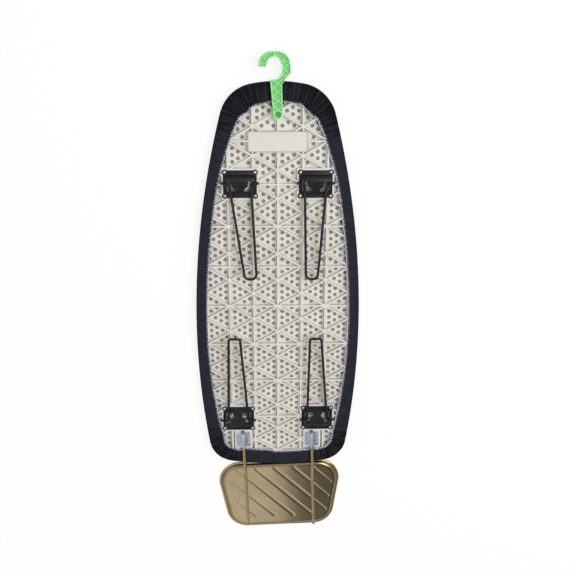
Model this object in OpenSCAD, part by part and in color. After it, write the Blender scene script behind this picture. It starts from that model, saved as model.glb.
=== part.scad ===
// Table-top ironing board lying on its ironing face, underside up, with its legs folded.
// X runs across the board, Y along it towards the hook, Z up out of the underside.
// The origin is the middle of the ironing face. All sizes are in millimetres.

/* [Deck] */
// Length of the moulded deck
deck_length = 797; // [740:1:860]
// Greatest width of the deck
deck_width = 325; // [312:1:345]
// Distance of the widest place from the heel end
widest_from_heel = 310; // [290:1:330]
// Radius of the end of the nose
nose_radius = 262; // [240:1:290]
// Radius of the nose shoulders
shoulder_radius = 73; // [66:1:80]
// Radius of the long sides
side_radius = 1678; // [1500:2:1900]
// Radius of the heel end
heel_radius = 618; // [560:2:700]
// Radius of the heel corners
heel_corner_radius = 53; // [48:1:60]
// Thickness of the perforated skin
skin_t = 2.5; // [2:0.1:3.5]
// Height of the ribs above the skin
rib_h = 9.5; // [8:0.1:12]
// Thickness of a rib
rib_t = 3; // [1.6:0.1:3.4]
// Thickness of the wall round the deck's edge
rim_t = 3; // [2:0.1:4]

/* [Rib lattice] */
// Side of a lattice triangle
cell_side = 55; // [50:0.5:62]
// Distance of the lattice's datum crossing from the nose end
lattice_from_nose = 272.5; // [240:0.5:300]
// Pitch of the vent holes
hole_pitch = 12.8; // [11.5:0.1:14]
// Diameter of a vent hole
hole_d = 7.4; // [5:0.1:8.5]
// Plastic left between a vent hole and its neighbours
hole_ligament = 1.6; // [1:0.1:3]
// Width of the band along the edge that has no vent holes
plain_edge = 15; // [8:0.5:25]

/* [Label field] */
// Width of the plain label field
label_width = 113.5; // [90:0.5:125]
// Height of the label field along the board
label_height = 39.5; // [30:0.5:46]
// Corner radius of the label field
label_corner = 6; // [3:0.5:10]
// Distance of the label field's middle from the nose end
label_from_nose = 108.5; // [102:0.5:116]
// Thickness of the label field's plate and walls
label_t = 2.2; // [1.6:0.1:3]
// Width of the raised border round the label field
label_border = 2.6; // [2:0.1:4]
// Depth of the label field below its border
label_recess = 0.8; // [0.4:0.1:1]

/* [Pad and cover] */
// Thickness of the felt pad
pad_t = 4; // [2:0.2:8]
// Thickness of the cover cloth
cloth_t = 0.8; // [0.5:0.1:1.2]
// Gap between the deck's edge and the cloth
cloth_gap = 0.4; // [0.2:0.1:1]
// Rounding of the cover's edges
cover_round = 2; // [1.4:0.1:2.4]
// Width of the hem along the sides
hem_side = 23; // [18:0.5:23.5]
// Width of the hem at the middle of the nose
hem_nose = 35; // [28:0.5:38]
// Width of the hem half way round the nose shoulders
hem_shoulder = 44.5; // [36:0.5:48]
// Width of the hem where the nose shoulders run into the sides
hem_flank = 36; // [28:0.5:40]
// Width of the hem round the heel corners
hem_corner = 33; // [28:0.5:38]
// Width of the hem along the heel
hem_heel = 29; // [24:0.5:32]
// Length over which the hem narrows behind the nose shoulders
hem_front_taper = 165; // [100:5:180]
// Length over which the hem narrows ahead of the heel corners
hem_rear_taper = 300; // [90:5:340]
// Length over which the hem narrows along the heel
hem_heel_taper = 26; // [15:1:30]
// Height of the gathered folds
fold_height = 1.2; // [0.6:0.1:1.6]
// Width of the elastic in the hem
elastic_width = 5; // [3:0.5:8]
// Thickness of the elastic
elastic_t = 0.7; // [0.4:0.1:1.2]
// How far the elastic lies inside the hem's free edge
elastic_inset = 2.5; // [1.5:0.5:4]

/* [Leg brackets] */
// Distance of the front leg pivots from the nose end
front_pivot_from_nose = 186.5; // [180:0.5:200]
// Distance of the rear leg pivots from the heel end
rear_pivot_from_heel = 106; // [104:0.5:120]
// Gap between the brackets' outer ears and the hem's free edge
bracket_hem_gap = 0.4; // [0.3:0.1:8]
// Thickness of the pressed sheet
bracket_sheet_t = 1.2; // [1:0.1:1.6]
// Rivet spacing across the bracket
bracket_rivet_x = 58; // [56:0.5:60]
// Rivet spacing along the bracket
bracket_rivet_y = 45.8; // [45:0.2:50]
// How far the rivet pattern's middle lies ahead of the pivot
bracket_rivet_ahead = 2.4; // [1.8:0.2:3]
// Radius of the ears round the rivets
ear_radius = 5.4; // [5:0.1:6]
// Width of the flange between its ears
flange_width = 64; // [62:0.2:66.8]
// Width of the raised box
box_width = 56.8; // [55:0.2:58]
// Height of the raised box over the deck
box_height = 10.6; // [10:0.2:13]
// How far the raised box reaches behind the pivot
box_behind = 15.5; // [14:0.1:16]
// How far the raised box reaches ahead of the pivot
box_ahead = 20.4; // [19:0.1:21]
// Length of the rounded rise at the back of the box
box_rise = 10; // [6:0.5:12]
// Length of the slope at the front of the box
box_slope = 9; // [6:0.5:11]
// Height of the leg pivot over the deck
pivot_height = 5.4; // [5:0.1:6]
// How far the deck's frame stands out round each bracket and sleeve
pad_margin = 3.4; // [2.4:0.1:3.8]
// How far the deck's frame reaches in under each bracket
pad_inward = 2; // [1:0.1:2.6]
// How far the ears stand out past the flange's ends
ear_out = 1.6; // [1:0.1:2.4]

/* [Cam slots] */
// Distance of the slot's outer edge from the bracket's middle
slot_outer = 25.4; // [25.2:0.1:26]
// Distance of the slot's inner edge from the bracket's middle
slot_inner = 14.5; // [13.5:0.1:16.5]
// How far the inward lobe reaches past the slot's inner edge
lobe_reach = 7.5; // [4:0.5:9]
// Distance of the slot's mouth from the bracket's middle
slot_mouth = 13.5; // [12:0.1:14]
// Distance of the lobe's tip ahead of the pivot
lobe_ahead = 12.5; // [11:0.5:14]
// How far the slot runs behind the pivot
slot_behind = 4.6; // [4.4:0.1:6]
// Depth of the outward notch at the slot's end
notch_depth = 1.2; // [0.6:0.1:1.2]
// Height of the slot's floor over the deck
slot_floor = 3.5; // [3:0.1:3.6]

/* [Wire legs] */
// Diameter of the leg wire
leg_wire_d = 5; // [4.6:0.1:5.2]
// Distance of the leg's tip from its pivot, along the middle of the wire
leg_reach = 189; // [170:1:205]
// Distance between the limbs at the pivot
limb_spread = 41.8; // [41:0.2:42.6]
// Distance between the limbs at the tip
tip_spread = 22.8; // [17:0.2:24]
// Bend radius at the pivot, to the middle of the wire
pivot_bend = 5; // [4:0.2:6]
// Bend radius of the square rear tips, to the middle of the wire
square_tip_bend = 5; // [4:0.2:6]
// Straight stretch left between the bends of the round front tips
tip_flat = 1.6; // [1.4:0.1:3]
// How far the stubs stand out past the flange's edge
stub_out = 4.4; // [2:0.2:6]
// Angle of the folded leg over the deck
folded_angle = 3; // [2:0.5:5]
// Sideways set of the front left tip
front_left_lean = 19; // [12:0.5:19]
// Sideways set of the front right tip
front_right_lean = -6; // [-10:0.5:6]
// Sideways set of the rear left tip
rear_left_lean = -6; // [-10:0.5:6]
// Sideways set of the rear right tip
rear_right_lean = -6; // [-10:0.5:6]
// Running clearance of the stubs in their bores, on the radius
stub_clearance = 0.06; // [0.02:0.01:0.1]

/* [Rivets] */
// Shank diameter of a bracket rivet
bracket_rivet_d = 4; // [3.6:0.1:4.4]
// Head diameter of a bracket rivet
bracket_rivet_head_d = 6.6; // [6.4:0.1:8]
// Head height of a bracket rivet
bracket_rivet_head_h = 1.8; // [1.2:0.1:2.2]
// Shank diameter of a sleeve rivet
sleeve_rivet_d = 3.2; // [2.8:0.1:3.6]
// Head diameter of a sleeve rivet
sleeve_rivet_head_d = 6; // [5.4:0.1:6.6]
// Head height of a sleeve rivet
sleeve_rivet_head_h = 1.4; // [1:0.1:1.8]
// Thickness of a rivet's clinched end
clinch_h = 1.2; // [0.8:0.1:1.4]
// Clearance of a rivet in its hole, on the radius
rivet_clearance = 0.1; // [0.05:0.01:0.2]
// Wall of the deck round a rivet
rivet_wall = 2.6; // [2:0.1:3.2]
// How far a clinched end spreads past its shank
clinch_out = 1.2; // [0.8:0.1:1.6]
// How far a clinched end lies inside the deck's face
clinch_inside = 0.3; // [0.2:0.1:0.6]

/* [Hook] */
// Distance of the hook's pivot from the nose end
hook_pivot_from_nose = 57; // [54:0.5:60]
// How far the hook is swung to the left
hook_lean = 1.4; // [-3:0.1:3]
// Thickness of the hook
hook_t = 8; // [6:0.5:10]
// Radius of the round foot
hook_foot_r = 8.6; // [8.2:0.1:9.4]
// Height of the head's middle over the pivot
head_rise = 80.4; // [76:0.2:86]
// Sideways offset of the head's middle
head_offset = -4.3; // [-6:0.1:-3]
// Half width of the head
head_half_width = 30; // [28:0.5:33]
// Half height of the head
head_half_height = 32.2; // [31:0.2:35]
// Squareness of the head's outline
head_squareness = 2.6; // [2:0.1:3]
// Half width of the eye
eye_half_width = 14.7; // [13:0.1:16]
// Half height of the eye
eye_half_height = 20.1; // [18.5:0.1:21]
// Sideways offset of the eye's middle
eye_offset = -5.5; // [-7:0.1:-5]
// Height of the eye's middle over the pivot
eye_rise = 82.3; // [80:0.1:84]
// Height of the hook's tip over the pivot
tip_rise = 85.4; // [84:0.2:88]
// Width of the tip's flat end
tip_width = 15; // [13:0.5:17]
// Half width of the shank at the ledge, on the mouth's side
ledge_reach = 13; // [11.5:0.2:14.5]
// Half width of the shank at the neck, on the far side
neck_reach = 8.8; // [8:0.1:9.6]
// Height of the neck over the pivot
neck_rise = 55; // [52:0.5:58]
// Width of the hook's rim
hook_rim = 2.2; // [1.8:0.1:2.8]
// Thickness of the hook's ribs
hook_rib_t = 1.6; // [1.2:0.1:2]
// Angle of the crossed ribs along the shank
cross_angle = 36; // [30:1:44]
// Height of the uppermost cross over the pivot
cross_top = 55.8; // [52:0.2:58]
// Pitch of the crosses along the shank
cross_pitch = 15.6; // [14:0.2:18]
// Depth of the pockets between the hook's ribs
pocket_depth = 2.8; // [1.5:0.1:3.2]
// Outer radius of the snap peg
peg_r = 6.5; // [6.2:0.1:6.8]
// Radius of the recess in the foot
recess_r = 6; // [5:0.1:6.2]
// Depth of the recess in the foot
recess_depth = 4; // [2:0.2:4.4]
// Web left under the recess in the foot
foot_web = 1.6; // [1.2:0.1:1.6]
// Radius of the hollow in the peg
peg_hollow_r = 4.4; // [3.6:0.1:4.8]
// Running clearance of the peg in the deck, on the radius
peg_clearance = 0.08; // [0.02:0.01:0.1]
// Length of the bore that the peg turns in
peg_grip = 6; // [4:0.5:8]
// Play of the snap bead along the peg
bead_play = 0.3; // [0.2:0.1:0.5]
// Length of the snap bead
bead_length = 2; // [1.5:0.1:3]
// How far the snap bead stands out
bead_out = 0.8; // [0.5:0.1:1]
// Room round the snap bead
bead_room = 0.8; // [0.4:0.1:1.2]
// Width of the slits in the peg
peg_slit = 1.6; // [1:0.1:2.2]
// Wall of the deck's boss round the peg
hook_boss_wall = 4; // [3:0.2:4.6]
// Clearance of the hook over the hem's folds
hook_over_hem = 0.8; // [0.5:0.1:2]

/* [Rod sleeves] */
// Distance between the two rods
rod_spacing = 144.6; // [130:0.2:160]
// Length of a sleeve along the rod
sleeve_length = 34; // [30:0.5:36]
// How far the sleeves stand ahead of the hem's edge
sleeve_from_hem = 9.2; // [2:0.1:12]
// Width of a sleeve over its flanges
sleeve_width = 29; // [27:0.5:32]
// Corner radius of a sleeve's flanges
sleeve_corner = 3; // [1.5:0.5:5]
// Thickness of the sleeve's sheet
sleeve_sheet_t = 1.2; // [0.8:0.1:1.6]
// Rivet spacing across a sleeve
sleeve_rivet_x = 20.5; // [19.5:0.5:22]
// Rivet spacing along a sleeve
sleeve_rivet_y = 18; // [14:0.5:22]
// Running clearance of a rod in its sleeve, on the radius
rod_clearance = 0.08; // [0.02:0.01:0.1]

/* [Iron rest] */
// How far the rest and its sleeves sit askew
rest_askew = 2; // [0:0.1:2.5]
// Diameter of the rods
rod_d = 6; // [5:0.1:7]
// Clearance of the rods over the hem's folds
rod_over_hem = 0.8; // [0.5:0.1:2]
// How far a rod stands in past its sleeve
rod_inner_end = 5; // [2:0.5:6]
// Bend radius of a rod, to its middle
rod_bend = 9; // [7:0.5:11]
// How far a rod runs level past the cover's edge
rod_past_edge = 4; // [3:0.5:8]
// How far short of the tray's edge a rod ends
rod_short = 7; // [6:0.5:20]
// Length of the slope down to the tray
rod_slope = 24; // [20:0.5:30]
// Length of the tray
tray_length = 162.5; // [140:0.5:185]
// Width of the tray at its inner edge, before its corners are rounded
tray_inner_width = 278; // [260:1:290]
// Width of the tray at its outer edge, before its corners are rounded
tray_outer_width = 221; // [205:1:235]
// Corner radius of the tray
tray_corner = 46; // [36:1:52]
// Depth of the tray
tray_depth = 9.5; // [8:0.1:12]
// Thickness of the tray's sheet
tray_sheet_t = 1; // [0.7:0.1:1.2]
// Diameter of the rolled edge
tray_bead_d = 4.4; // [3.6:0.1:5]
// Width of the curved wall between the rolled edge and the panel
tray_wall = 8.6; // [7:0.1:10]
// Gap between the tray and the cover
tray_gap = 1.5; // [0.8:0.1:3]
// Height of the tray's lowest edge over the ironing face
tray_lift = 0.5; // [0.3:0.1:2]
// Depth of the embossed ribs
emboss_depth = 1.5; // [1:0.1:2]
// Width of the embossed ribs
emboss_width = 8; // [6:0.2:9]
// Distance between embossed ribs, across the tray
emboss_pitch = 41; // [34:0.5:48]
// Angle of the embossed ribs
emboss_angle = -45; // [-50:1:-40]
// Distance of the embossed field from the tray's inner edge
emboss_inner_margin = 15; // [14:0.5:24]
// Distance of the embossed field from the tray's outer edge
emboss_outer_margin = 28; // [18:0.5:36]
// Distance of the embossed field from the tray's left edge
emboss_left_margin = 30; // [18:0.5:36]
// Distance of the embossed field from the tray's right edge
emboss_right_margin = 18; // [16:0.5:30]
// Sideways place of the middle embossed rib
emboss_offset = -9; // [-20:1:20]
// Length over which an embossed rib fades out
emboss_run = 5; // [3:0.5:8]
// Shortest embossed rib
emboss_shortest = 24; // [16:1:40]

/* [Hidden] */
$fn = 48;

// Colours
cream = "#E1DACD";
felt_grey = "#8E8A84";
navy = "#1E2029";
elastic_white = "#D8D6E0";
hook_green = "#7FE08A";
black_paint = "#222429";
zinc = "#B9C4D4";
yellow_zinc = "#B79A5B";
tray_gold = "#A8987A";

// Heights over the ironing face
pad_z = cloth_t;
skin_z = pad_z + pad_t;
rib_z = skin_z + skin_t;
deck_top = rib_z + rib_h;
hem_z = deck_top + elastic_t;
hem_top = hem_z + cloth_t;
fold_top = hem_top + fold_height;
hook_z = fold_top + hook_over_hem;
panel_z = tray_lift + tray_depth;

// Places along the board
nose_y = deck_length / 2;
heel_y = -deck_length / 2;
widest_y = heel_y + widest_from_heel;
lattice_y = nose_y - lattice_from_nose;
label_y = nose_y - label_from_nose;
label_floor_z = deck_top - label_recess;
front_pivot_y = nose_y - front_pivot_from_nose;
rear_pivot_y = heel_y + rear_pivot_from_heel;
hook_y = nose_y - hook_pivot_from_nose;

// Overlap of a cutting shape past the face that it opens
cut = 1;
cover_grow = cloth_gap + cloth_t;
// Largest rounding, in cloth thicknesses, that leaves cloth at the inner corner
round_limit = 2.8;
edge_round = min(cover_round, round_limit * cloth_t);
// Share of the hem's width at which a fold is at its full height
fold_peak = 0.4;

function unit_at(angle) = [cos(angle), sin(angle)];
function heading(from, to) = atan2(to.y - from.y, to.x - from.x);
function lerp(from, to, share) = from + (to - from) * share;
function mirrored(p) = [-p.x, p.y];
// Fades from 1 to 0 over the given length
function fade(distance, length) = pow(max(0, 1 - distance / length), 2);

// Where circles round two centres cross, on the right of the way from the first to the second
function arcs_meet(a, reach_a, b, reach_b) =
  let (
    gap = norm(b - a),
    along = (gap * gap + reach_a * reach_a - reach_b * reach_b) / (2 * gap),
    aside = sqrt(reach_a * reach_a - along * along),
    ahead = unit_at(heading(a, b))
  )
  a + along * ahead + aside * [ahead.y, -ahead.x];

// Centres of the five arcs that make the right half of the outline, each tangent to the next
nose_c = [0, nose_y - nose_radius];
side_c = [deck_width / 2 - side_radius, widest_y];
heel_c = [0, heel_y + heel_radius];
shoulder_c = arcs_meet(nose_c, nose_radius - shoulder_radius, side_c, side_radius - shoulder_radius);
corner_c = arcs_meet(side_c, side_radius - heel_corner_radius, heel_c, heel_radius - heel_corner_radius);
nose_end = heading(nose_c, shoulder_c);
shoulder_end = heading(side_c, shoulder_c);
side_end = heading(side_c, corner_c);
corner_end = heading(heel_c, corner_c);
side_top_y = widest_y + side_radius * sin(shoulder_end);
side_bottom_y = widest_y + side_radius * sin(side_end);
heel_half_width = heel_radius * cos(corner_end);

// Steps along each arc, which are also the gathers of the cover
nose_steps = 7;
shoulder_steps = 12;
side_steps = 16;
corner_steps = 12;
heel_steps = 8;

function side_hem(y) =
  hem_side
  + (hem_flank - hem_side) * fade(side_top_y - y, hem_front_taper)
  + (hem_corner - hem_side) * fade(y - side_bottom_y, hem_rear_taper);
hem_nose_end = (hem_nose + hem_shoulder) / 2;
function shoulder_hem(share) =
  lerp(hem_nose_end, hem_flank, share) + (hem_shoulder - (hem_nose_end + hem_flank) / 2) * sin(180 * share);
function heel_hem(x) = hem_heel + (hem_corner - hem_heel) * fade(heel_half_width - x, hem_heel_taper);

// A stop on the outline holds its arc's centre and radius, its angle, the hem's width and its fold
function arc_stops(centre, radius, from, to, steps, hem_from, hem_to) = [
  for (k = [0:steps - 1])
    [centre, radius, lerp(from, to, k / steps), lerp(hem_from, hem_to, k / steps), k % 2]
];
shoulder_stops = [
  for (k = [0:shoulder_steps - 1])
    let (share = k / shoulder_steps)
      [shoulder_c, shoulder_radius, lerp(nose_end, shoulder_end, share), shoulder_hem(share), k % 2]
];
side_stops = [
  for (k = [0:side_steps - 1])
    let (angle = lerp(shoulder_end, side_end, k / side_steps))
      [side_c, side_radius, angle, side_hem(widest_y + side_radius * sin(angle)), 0]
];
heel_stops = [
  for (k = [0:heel_steps])
    let (angle = lerp(corner_end, -90, k / heel_steps))
      [heel_c, heel_radius, angle, heel_hem(heel_radius * cos(angle)), 0]
];
half_stops = concat(
  arc_stops(nose_c, nose_radius, 90, nose_end, nose_steps, hem_nose, hem_nose_end),
  shoulder_stops,
  side_stops,
  arc_stops(corner_c, heel_corner_radius, side_end, corner_end, corner_steps, hem_corner, hem_corner),
  heel_stops
);
board_stops = concat(
  half_stops,
  [
    for (k = [len(half_stops) - 2:-1:1])
      let (s = half_stops[k])
        [mirrored(s[0]), s[1], 180 - s[2], s[3], s[4]]
  ]
);
function stop_point(s, grow) = s[0] + (s[1] + grow) * unit_at(s[2]);
function outline(grow) = [for (s = board_stops) stop_point(s, grow)];
// The cover's free edge, moved out by the given distance
function hem_edge(out) = [for (s = board_stops) stop_point(s, cover_grow - s[3] + out)];

// Depth of a point inside the deck's outline, from the arc in whose sector it lies
half_arcs = [
  [nose_c, nose_radius, 90, nose_end],
  [shoulder_c, shoulder_radius, nose_end, shoulder_end],
  [side_c, side_radius, shoulder_end, side_end],
  [corner_c, heel_corner_radius, side_end, corner_end],
  [heel_c, heel_radius, corner_end, -90]
];
function edge_depth(p) =
  let (q = [abs(p.x), p.y])
    min([
      for (arc = half_arcs)
        let (angle = heading(arc[0], q))
          angle <= arc[2] && angle >= arc[3] ? arc[1] - norm(q - arc[0]) : deck_width
    ]);

quarter_steps = 6;
function rounded_rectangle(width, height, radius) = [
  for (quarter = [0:3], k = [0:quarter_steps])
    let (
      across = quarter == 0 || quarter == 3 ? 1 : -1,
      along = quarter < 2 ? 1 : -1
    )
      [across * (width / 2 - radius), along * (height / 2 - radius)]
      + radius * unit_at(90 * (quarter + k / quarter_steps))
];

// Half width of the board inside its hem, at a place along the board and a gap from the hem's edge
function inside_hem(y, gap) =
  lookup(
    y,
    [
      for (s = half_stops)
        let (p = stop_point(s, cover_grow - s[3] - gap))
          [p.y, p.x]
    ]
  );
// Each bracket stands as far out as the hem lets its outermost ear
function bracket_x(ear_y) = inside_hem(ear_y, ear_radius + bracket_hem_gap) - bracket_rivet_x / 2;
front_bracket_x = bracket_x(front_pivot_y - bracket_rivet_ahead + bracket_rivet_y / 2);
rear_bracket_x = bracket_x(rear_pivot_y + bracket_rivet_ahead - bracket_rivet_y / 2);

// Bracket places: middle, pivot and the way that the folded leg points along Y
front_left_place = [-front_bracket_x, front_pivot_y, -1];
front_right_place = [front_bracket_x, front_pivot_y, -1];
rear_left_place = [-rear_bracket_x, rear_pivot_y, 1];
rear_right_place = [rear_bracket_x, rear_pivot_y, 1];
bracket_places = [front_left_place, front_right_place, rear_left_place, rear_right_place];
flange_length = bracket_rivet_y + 2 * (ear_radius - ear_out);
pivot_z = deck_top + pivot_height;
flange_top = deck_top + bracket_sheet_t;
function bracket_middle(place) = [place[0], place[1] + place[2] * bracket_rivet_ahead];
function rivet_pattern(middle, across, along) = [
  for (i = [-1, 1], j = [-1, 1])
    middle + [i * across / 2, j * along / 2]
];
bracket_rivet_spots = [
  for (place = bracket_places)
    each rivet_pattern(bracket_middle(place), bracket_rivet_x, bracket_rivet_y)
];

// Rods run level over the hem, and the sleeves stand just ahead of it
rod_z = fold_top + rod_over_hem + rod_d / 2;
rod_on_tray_z = panel_z + rod_d / 2;
rod_x = rod_spacing / 2;
cover_heel_y = heel_y - cover_grow;
hem_reach = heel_radius + cover_grow - heel_hem(rod_x);
hem_edge_y = heel_c.y - sqrt(hem_reach * hem_reach - rod_x * rod_x);
sleeve_mouth_y = hem_edge_y + sleeve_from_hem;
sleeve_y = sleeve_mouth_y + sleeve_length / 2;
sleeve_top = deck_top + sleeve_sheet_t;
sleeve_middles = [[-rod_x, sleeve_y], [rod_x, sleeve_y]];
function askew(p, x) =
  let (pivot = [x, sleeve_mouth_y])
    pivot + (p.x - x) * unit_at(rest_askew) + (p.y - sleeve_mouth_y) * unit_at(rest_askew + 90);
function sleeve_spots(middle) = [
  for (spot = rivet_pattern(middle, sleeve_rivet_x, sleeve_rivet_y))
    askew(spot, middle.x)
];
sleeve_rivet_spots = [for (middle = sleeve_middles) each sleeve_spots(middle)];

// Tray outline: four corners of a trapezoid, each rounded about its own centre
tray_inner_y = cover_heel_y - tray_gap;
tray_outer_y = tray_inner_y - tray_length;
tray_taper = atan((tray_inner_width - tray_outer_width) / 2 / tray_length);
function tray_side_x(y) = tray_inner_width / 2 - (tray_inner_y - y) * tan(tray_taper);
function tray_corner_at(y) = [tray_side_x(y) - tray_corner / cos(tray_taper), y];
tray_inner_corner = tray_corner_at(tray_inner_y - tray_corner);
tray_outer_corner = tray_corner_at(tray_outer_y + tray_corner);
tray_corners = [
  tray_inner_corner, tray_outer_corner, mirrored(tray_outer_corner), mirrored(tray_inner_corner)
];
// Outward angle of the side that follows each corner, going round by the right
tray_side_angles = [-tray_taper, -90, -180 + tray_taper, -270];

// Lattice of triangles in columns that are one triangle's height wide
cell_height = cell_side * sqrt(3) / 2;
cell_inset = 1 - rib_t / 2 / (cell_height / 3);
row_step = hole_pitch * sqrt(3) / 2;
first_row = cell_height / 3 - row_step * 2 / 3;
columns = ceil(deck_width / 2 / cell_height);
rows_up = ceil((nose_y - lattice_y) / (cell_side / 2));
rows_down = ceil((lattice_y - heel_y) / (cell_side / 2));
function points_right(i, m) = abs(i + m) % 2 == 1;
function has_cross_rib(m) = abs(m) % 3 == 0;
cells = [
  for (i = [-columns:columns - 1], m = [-rows_down:rows_up])
    let (
      side = points_right(i, m) ? 1 : -1,
      base = [(points_right(i, m) ? i : i + 1) * cell_height, lattice_y + m * cell_side / 2]
    )
      if (edge_depth(base + [side * cell_height / 3, 0]) > rim_t) [base, side, has_cross_rib(m)]
];

// Radius of the boss that the hook's peg turns in
hook_boss_r = peg_r + peg_clearance + hook_boss_wall;

// Areas of the deck that carry no vent holes: middle and half sizes
function pad_size(width, length) = [width / 2 + pad_margin, length / 2 + pad_margin];
plain_areas = concat(
  [[[0, label_y], [label_width / 2, label_height / 2]]],
  [[[0, hook_y], [hook_boss_r, hook_boss_r]]],
  [for (place = bracket_places) [bracket_middle(place), pad_size(flange_width, flange_length)]],
  [for (middle = sleeve_middles) [middle, pad_size(sleeve_width, sleeve_length)]]
);
hole_room = hole_d / 2 + hole_ligament;
function is_clear_of(p, area) =
  abs(p.x - area[0].x) > area[1].x + hole_room || abs(p.y - area[0].y) > area[1].y + hole_room;
function is_open_deck(p) =
  edge_depth(p) > plain_edge && len([for (area = plain_areas) if (!is_clear_of(p, area)) 1]) == 0;
vent_spots = [
  for (cell = cells, row = [0:2], k = [0:2 - row])
    let (
      offset_y = (k - (2 - row) / 2) * hole_pitch,
      p = cell[0] + [cell[1] * (first_row + row * row_step), offset_y]
    )
      if (is_open_deck(p) && !(cell[2] && offset_y == 0)) p
];

// Snap peg of the hook and the middles of its head and eye
grip_z = hook_z - peg_grip;
bead_top_z = grip_z - bead_play;
peg_end_z = bead_top_z - bead_length;
head_c = [head_offset, head_rise];
eye_c = [eye_offset, eye_rise];
ledge_y = eye_rise - eye_half_height;

// One pocket between the ribs, split in two where a cross rib runs through its middle
module cell_pocket(cell) {
  side = cell[1];
  middle = cell[0] + [side * cell_height / 3, 0];
  base_x = middle.x - side * cell_inset * cell_height / 3;
  apex_x = middle.x + side * cell_inset * cell_height * 2 / 3;
  half = cell_inset * cell_side / 2;
  cross = rib_t / 2;
  cross_x = apex_x - (apex_x - base_x) * cross / half;
  if (cell[2])
    for (up = [-1, 1])
      polygon([
        [base_x, middle.y + up * cross],
        [base_x, middle.y + up * half],
        [cross_x, middle.y + up * cross]
      ]);
  else
    polygon([[base_x, middle.y - half], [base_x, middle.y + half], [apex_x, middle.y]]);
}

module label_shape(inset) {
  translate([0, label_y])
    polygon(rounded_rectangle(label_width - 2 * inset, label_height - 2 * inset, label_corner - inset));
}

module pad_shape(middle, width, length, grow) {
  translate(middle) square([width + 2 * grow, length + 2 * grow], center = true);
}

// All of the deck that is open between its ribs, seen from the underside
module open_pockets() {
  difference() {
    intersection() {
      for (cell = cells) cell_pocket(cell);
      polygon(outline(-rim_t));
    }
    label_shape(0);
    translate([0, hook_y]) circle(r = hook_boss_r);
    for (place = bracket_places)
      difference() {
        pad_shape(bracket_middle(place), flange_width, flange_length, pad_margin);
        pad_shape(bracket_middle(place), flange_width, flange_length, -pad_inward);
      }
    for (middle = sleeve_middles) pad_shape(middle, sleeve_width, sleeve_length, pad_margin);
    for (spot = bracket_rivet_spots) translate(spot) circle(r = bracket_rivet_d / 2 + rivet_wall);
  }
}

module rivet_bore(spot, shank_d) {
  translate([spot.x, spot.y, skin_z - cut]) {
    cylinder(r = shank_d / 2 + rivet_clearance, h = deck_top - skin_z + 2 * cut);
    cylinder(r = shank_d / 2 + clinch_out + rivet_clearance, h = cut + clinch_inside + clinch_h);
  }
}

module deck() {
  color(cream)
    difference() {
      union() {
        difference() {
          translate([0, 0, skin_z]) linear_extrude(deck_top - skin_z) polygon(outline(0));
          translate([0, 0, rib_z]) linear_extrude(rib_h + cut) open_pockets();
        }
        translate([0, hook_y, rib_z]) cylinder(r = hook_boss_r, h = hook_z - rib_z);
      }
      for (spot = vent_spots)
        translate([spot.x, spot.y, skin_z - cut]) cylinder(d = hole_d, h = skin_t + 2 * cut);
      translate([0, 0, skin_z - cut])
        linear_extrude(label_floor_z - label_t - skin_z + cut)
          label_shape(label_t);
      translate([0, 0, label_floor_z]) linear_extrude(label_recess + cut) label_shape(label_border);
      for (spot = bracket_rivet_spots) rivet_bore(spot, bracket_rivet_d);
      for (spot = sleeve_rivet_spots) rivet_bore(spot, sleeve_rivet_d);
      translate([0, hook_y, skin_z - cut]) {
        cylinder(r = peg_r + peg_clearance, h = hook_z - skin_z + 2 * cut);
        cylinder(r = peg_r + bead_out + bead_room, h = grip_z - skin_z + cut);
      }
    }
}

module pad() {
  color(felt_grey) translate([0, 0, pad_z]) linear_extrude(pad_t) polygon(outline(0));
}

// Cover: one cloth shell, from the ironing face round the edge to the gathered hem and back inside
function cover_profile(hem, fold) =
  let (
    near = edge_round * (1 - cos(45)),
    lift = fold * fold_height
  )
    [
      [edge_round, 0],
      [near, near],
      [0, edge_round],
      [0, hem_top - edge_round],
      [near, hem_top - near],
      [edge_round, hem_top],
      [lerp(edge_round, hem, fold_peak), hem_top + lift],
      [hem, hem_top + lift],
      [hem, hem_z],
      [cloth_t, hem_z],
      [cloth_t, cloth_t]
    ];

// Closed shell through rings of points: each stop on an outline carries one point of every ring,
// and the first and last rings are capped at their middles
module lofted_shell(stops, profiles, grow, first_middle, last_middle) {
  rings = len(profiles[0]);
  count = len(stops);
  ring_points = [
    for (k = [0:rings - 1], i = [0:count - 1])
      let (p = stop_point(stops[i], grow - profiles[i][k][0]))
        [p.x, p.y, profiles[i][k][1]]
  ];
  wall_faces = [
    for (k = [0:rings - 2], i = [0:count - 1])
      let (
        a = k * count + i,
        b = k * count + (i + 1) % count
      )
        each [[a, b, b + count], [a, b + count, a + count]]
  ];
  last_ring = (rings - 1) * count;
  cap_faces = [
    for (i = [0:count - 1])
      let (j = (i + 1) % count)
        each [[rings * count, j, i], [rings * count + 1, last_ring + i, last_ring + j]]
  ];
  polyhedron(
    points = concat(ring_points, [first_middle, last_middle]),
    faces = concat(wall_faces, cap_faces)
  );
}

module cover() {
  profiles = [for (s = board_stops) cover_profile(s[3], s[4])];
  color(navy) lofted_shell(board_stops, profiles, cover_grow, [0, 0, 0], [0, 0, cloth_t]);
}

module hem_elastic() {
  color(elastic_white)
    translate([0, 0, deck_top])
      linear_extrude(elastic_t)
        difference() {
          polygon(hem_edge(elastic_inset + elastic_width));
          polygon(hem_edge(elastic_inset));
        }
}

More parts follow.
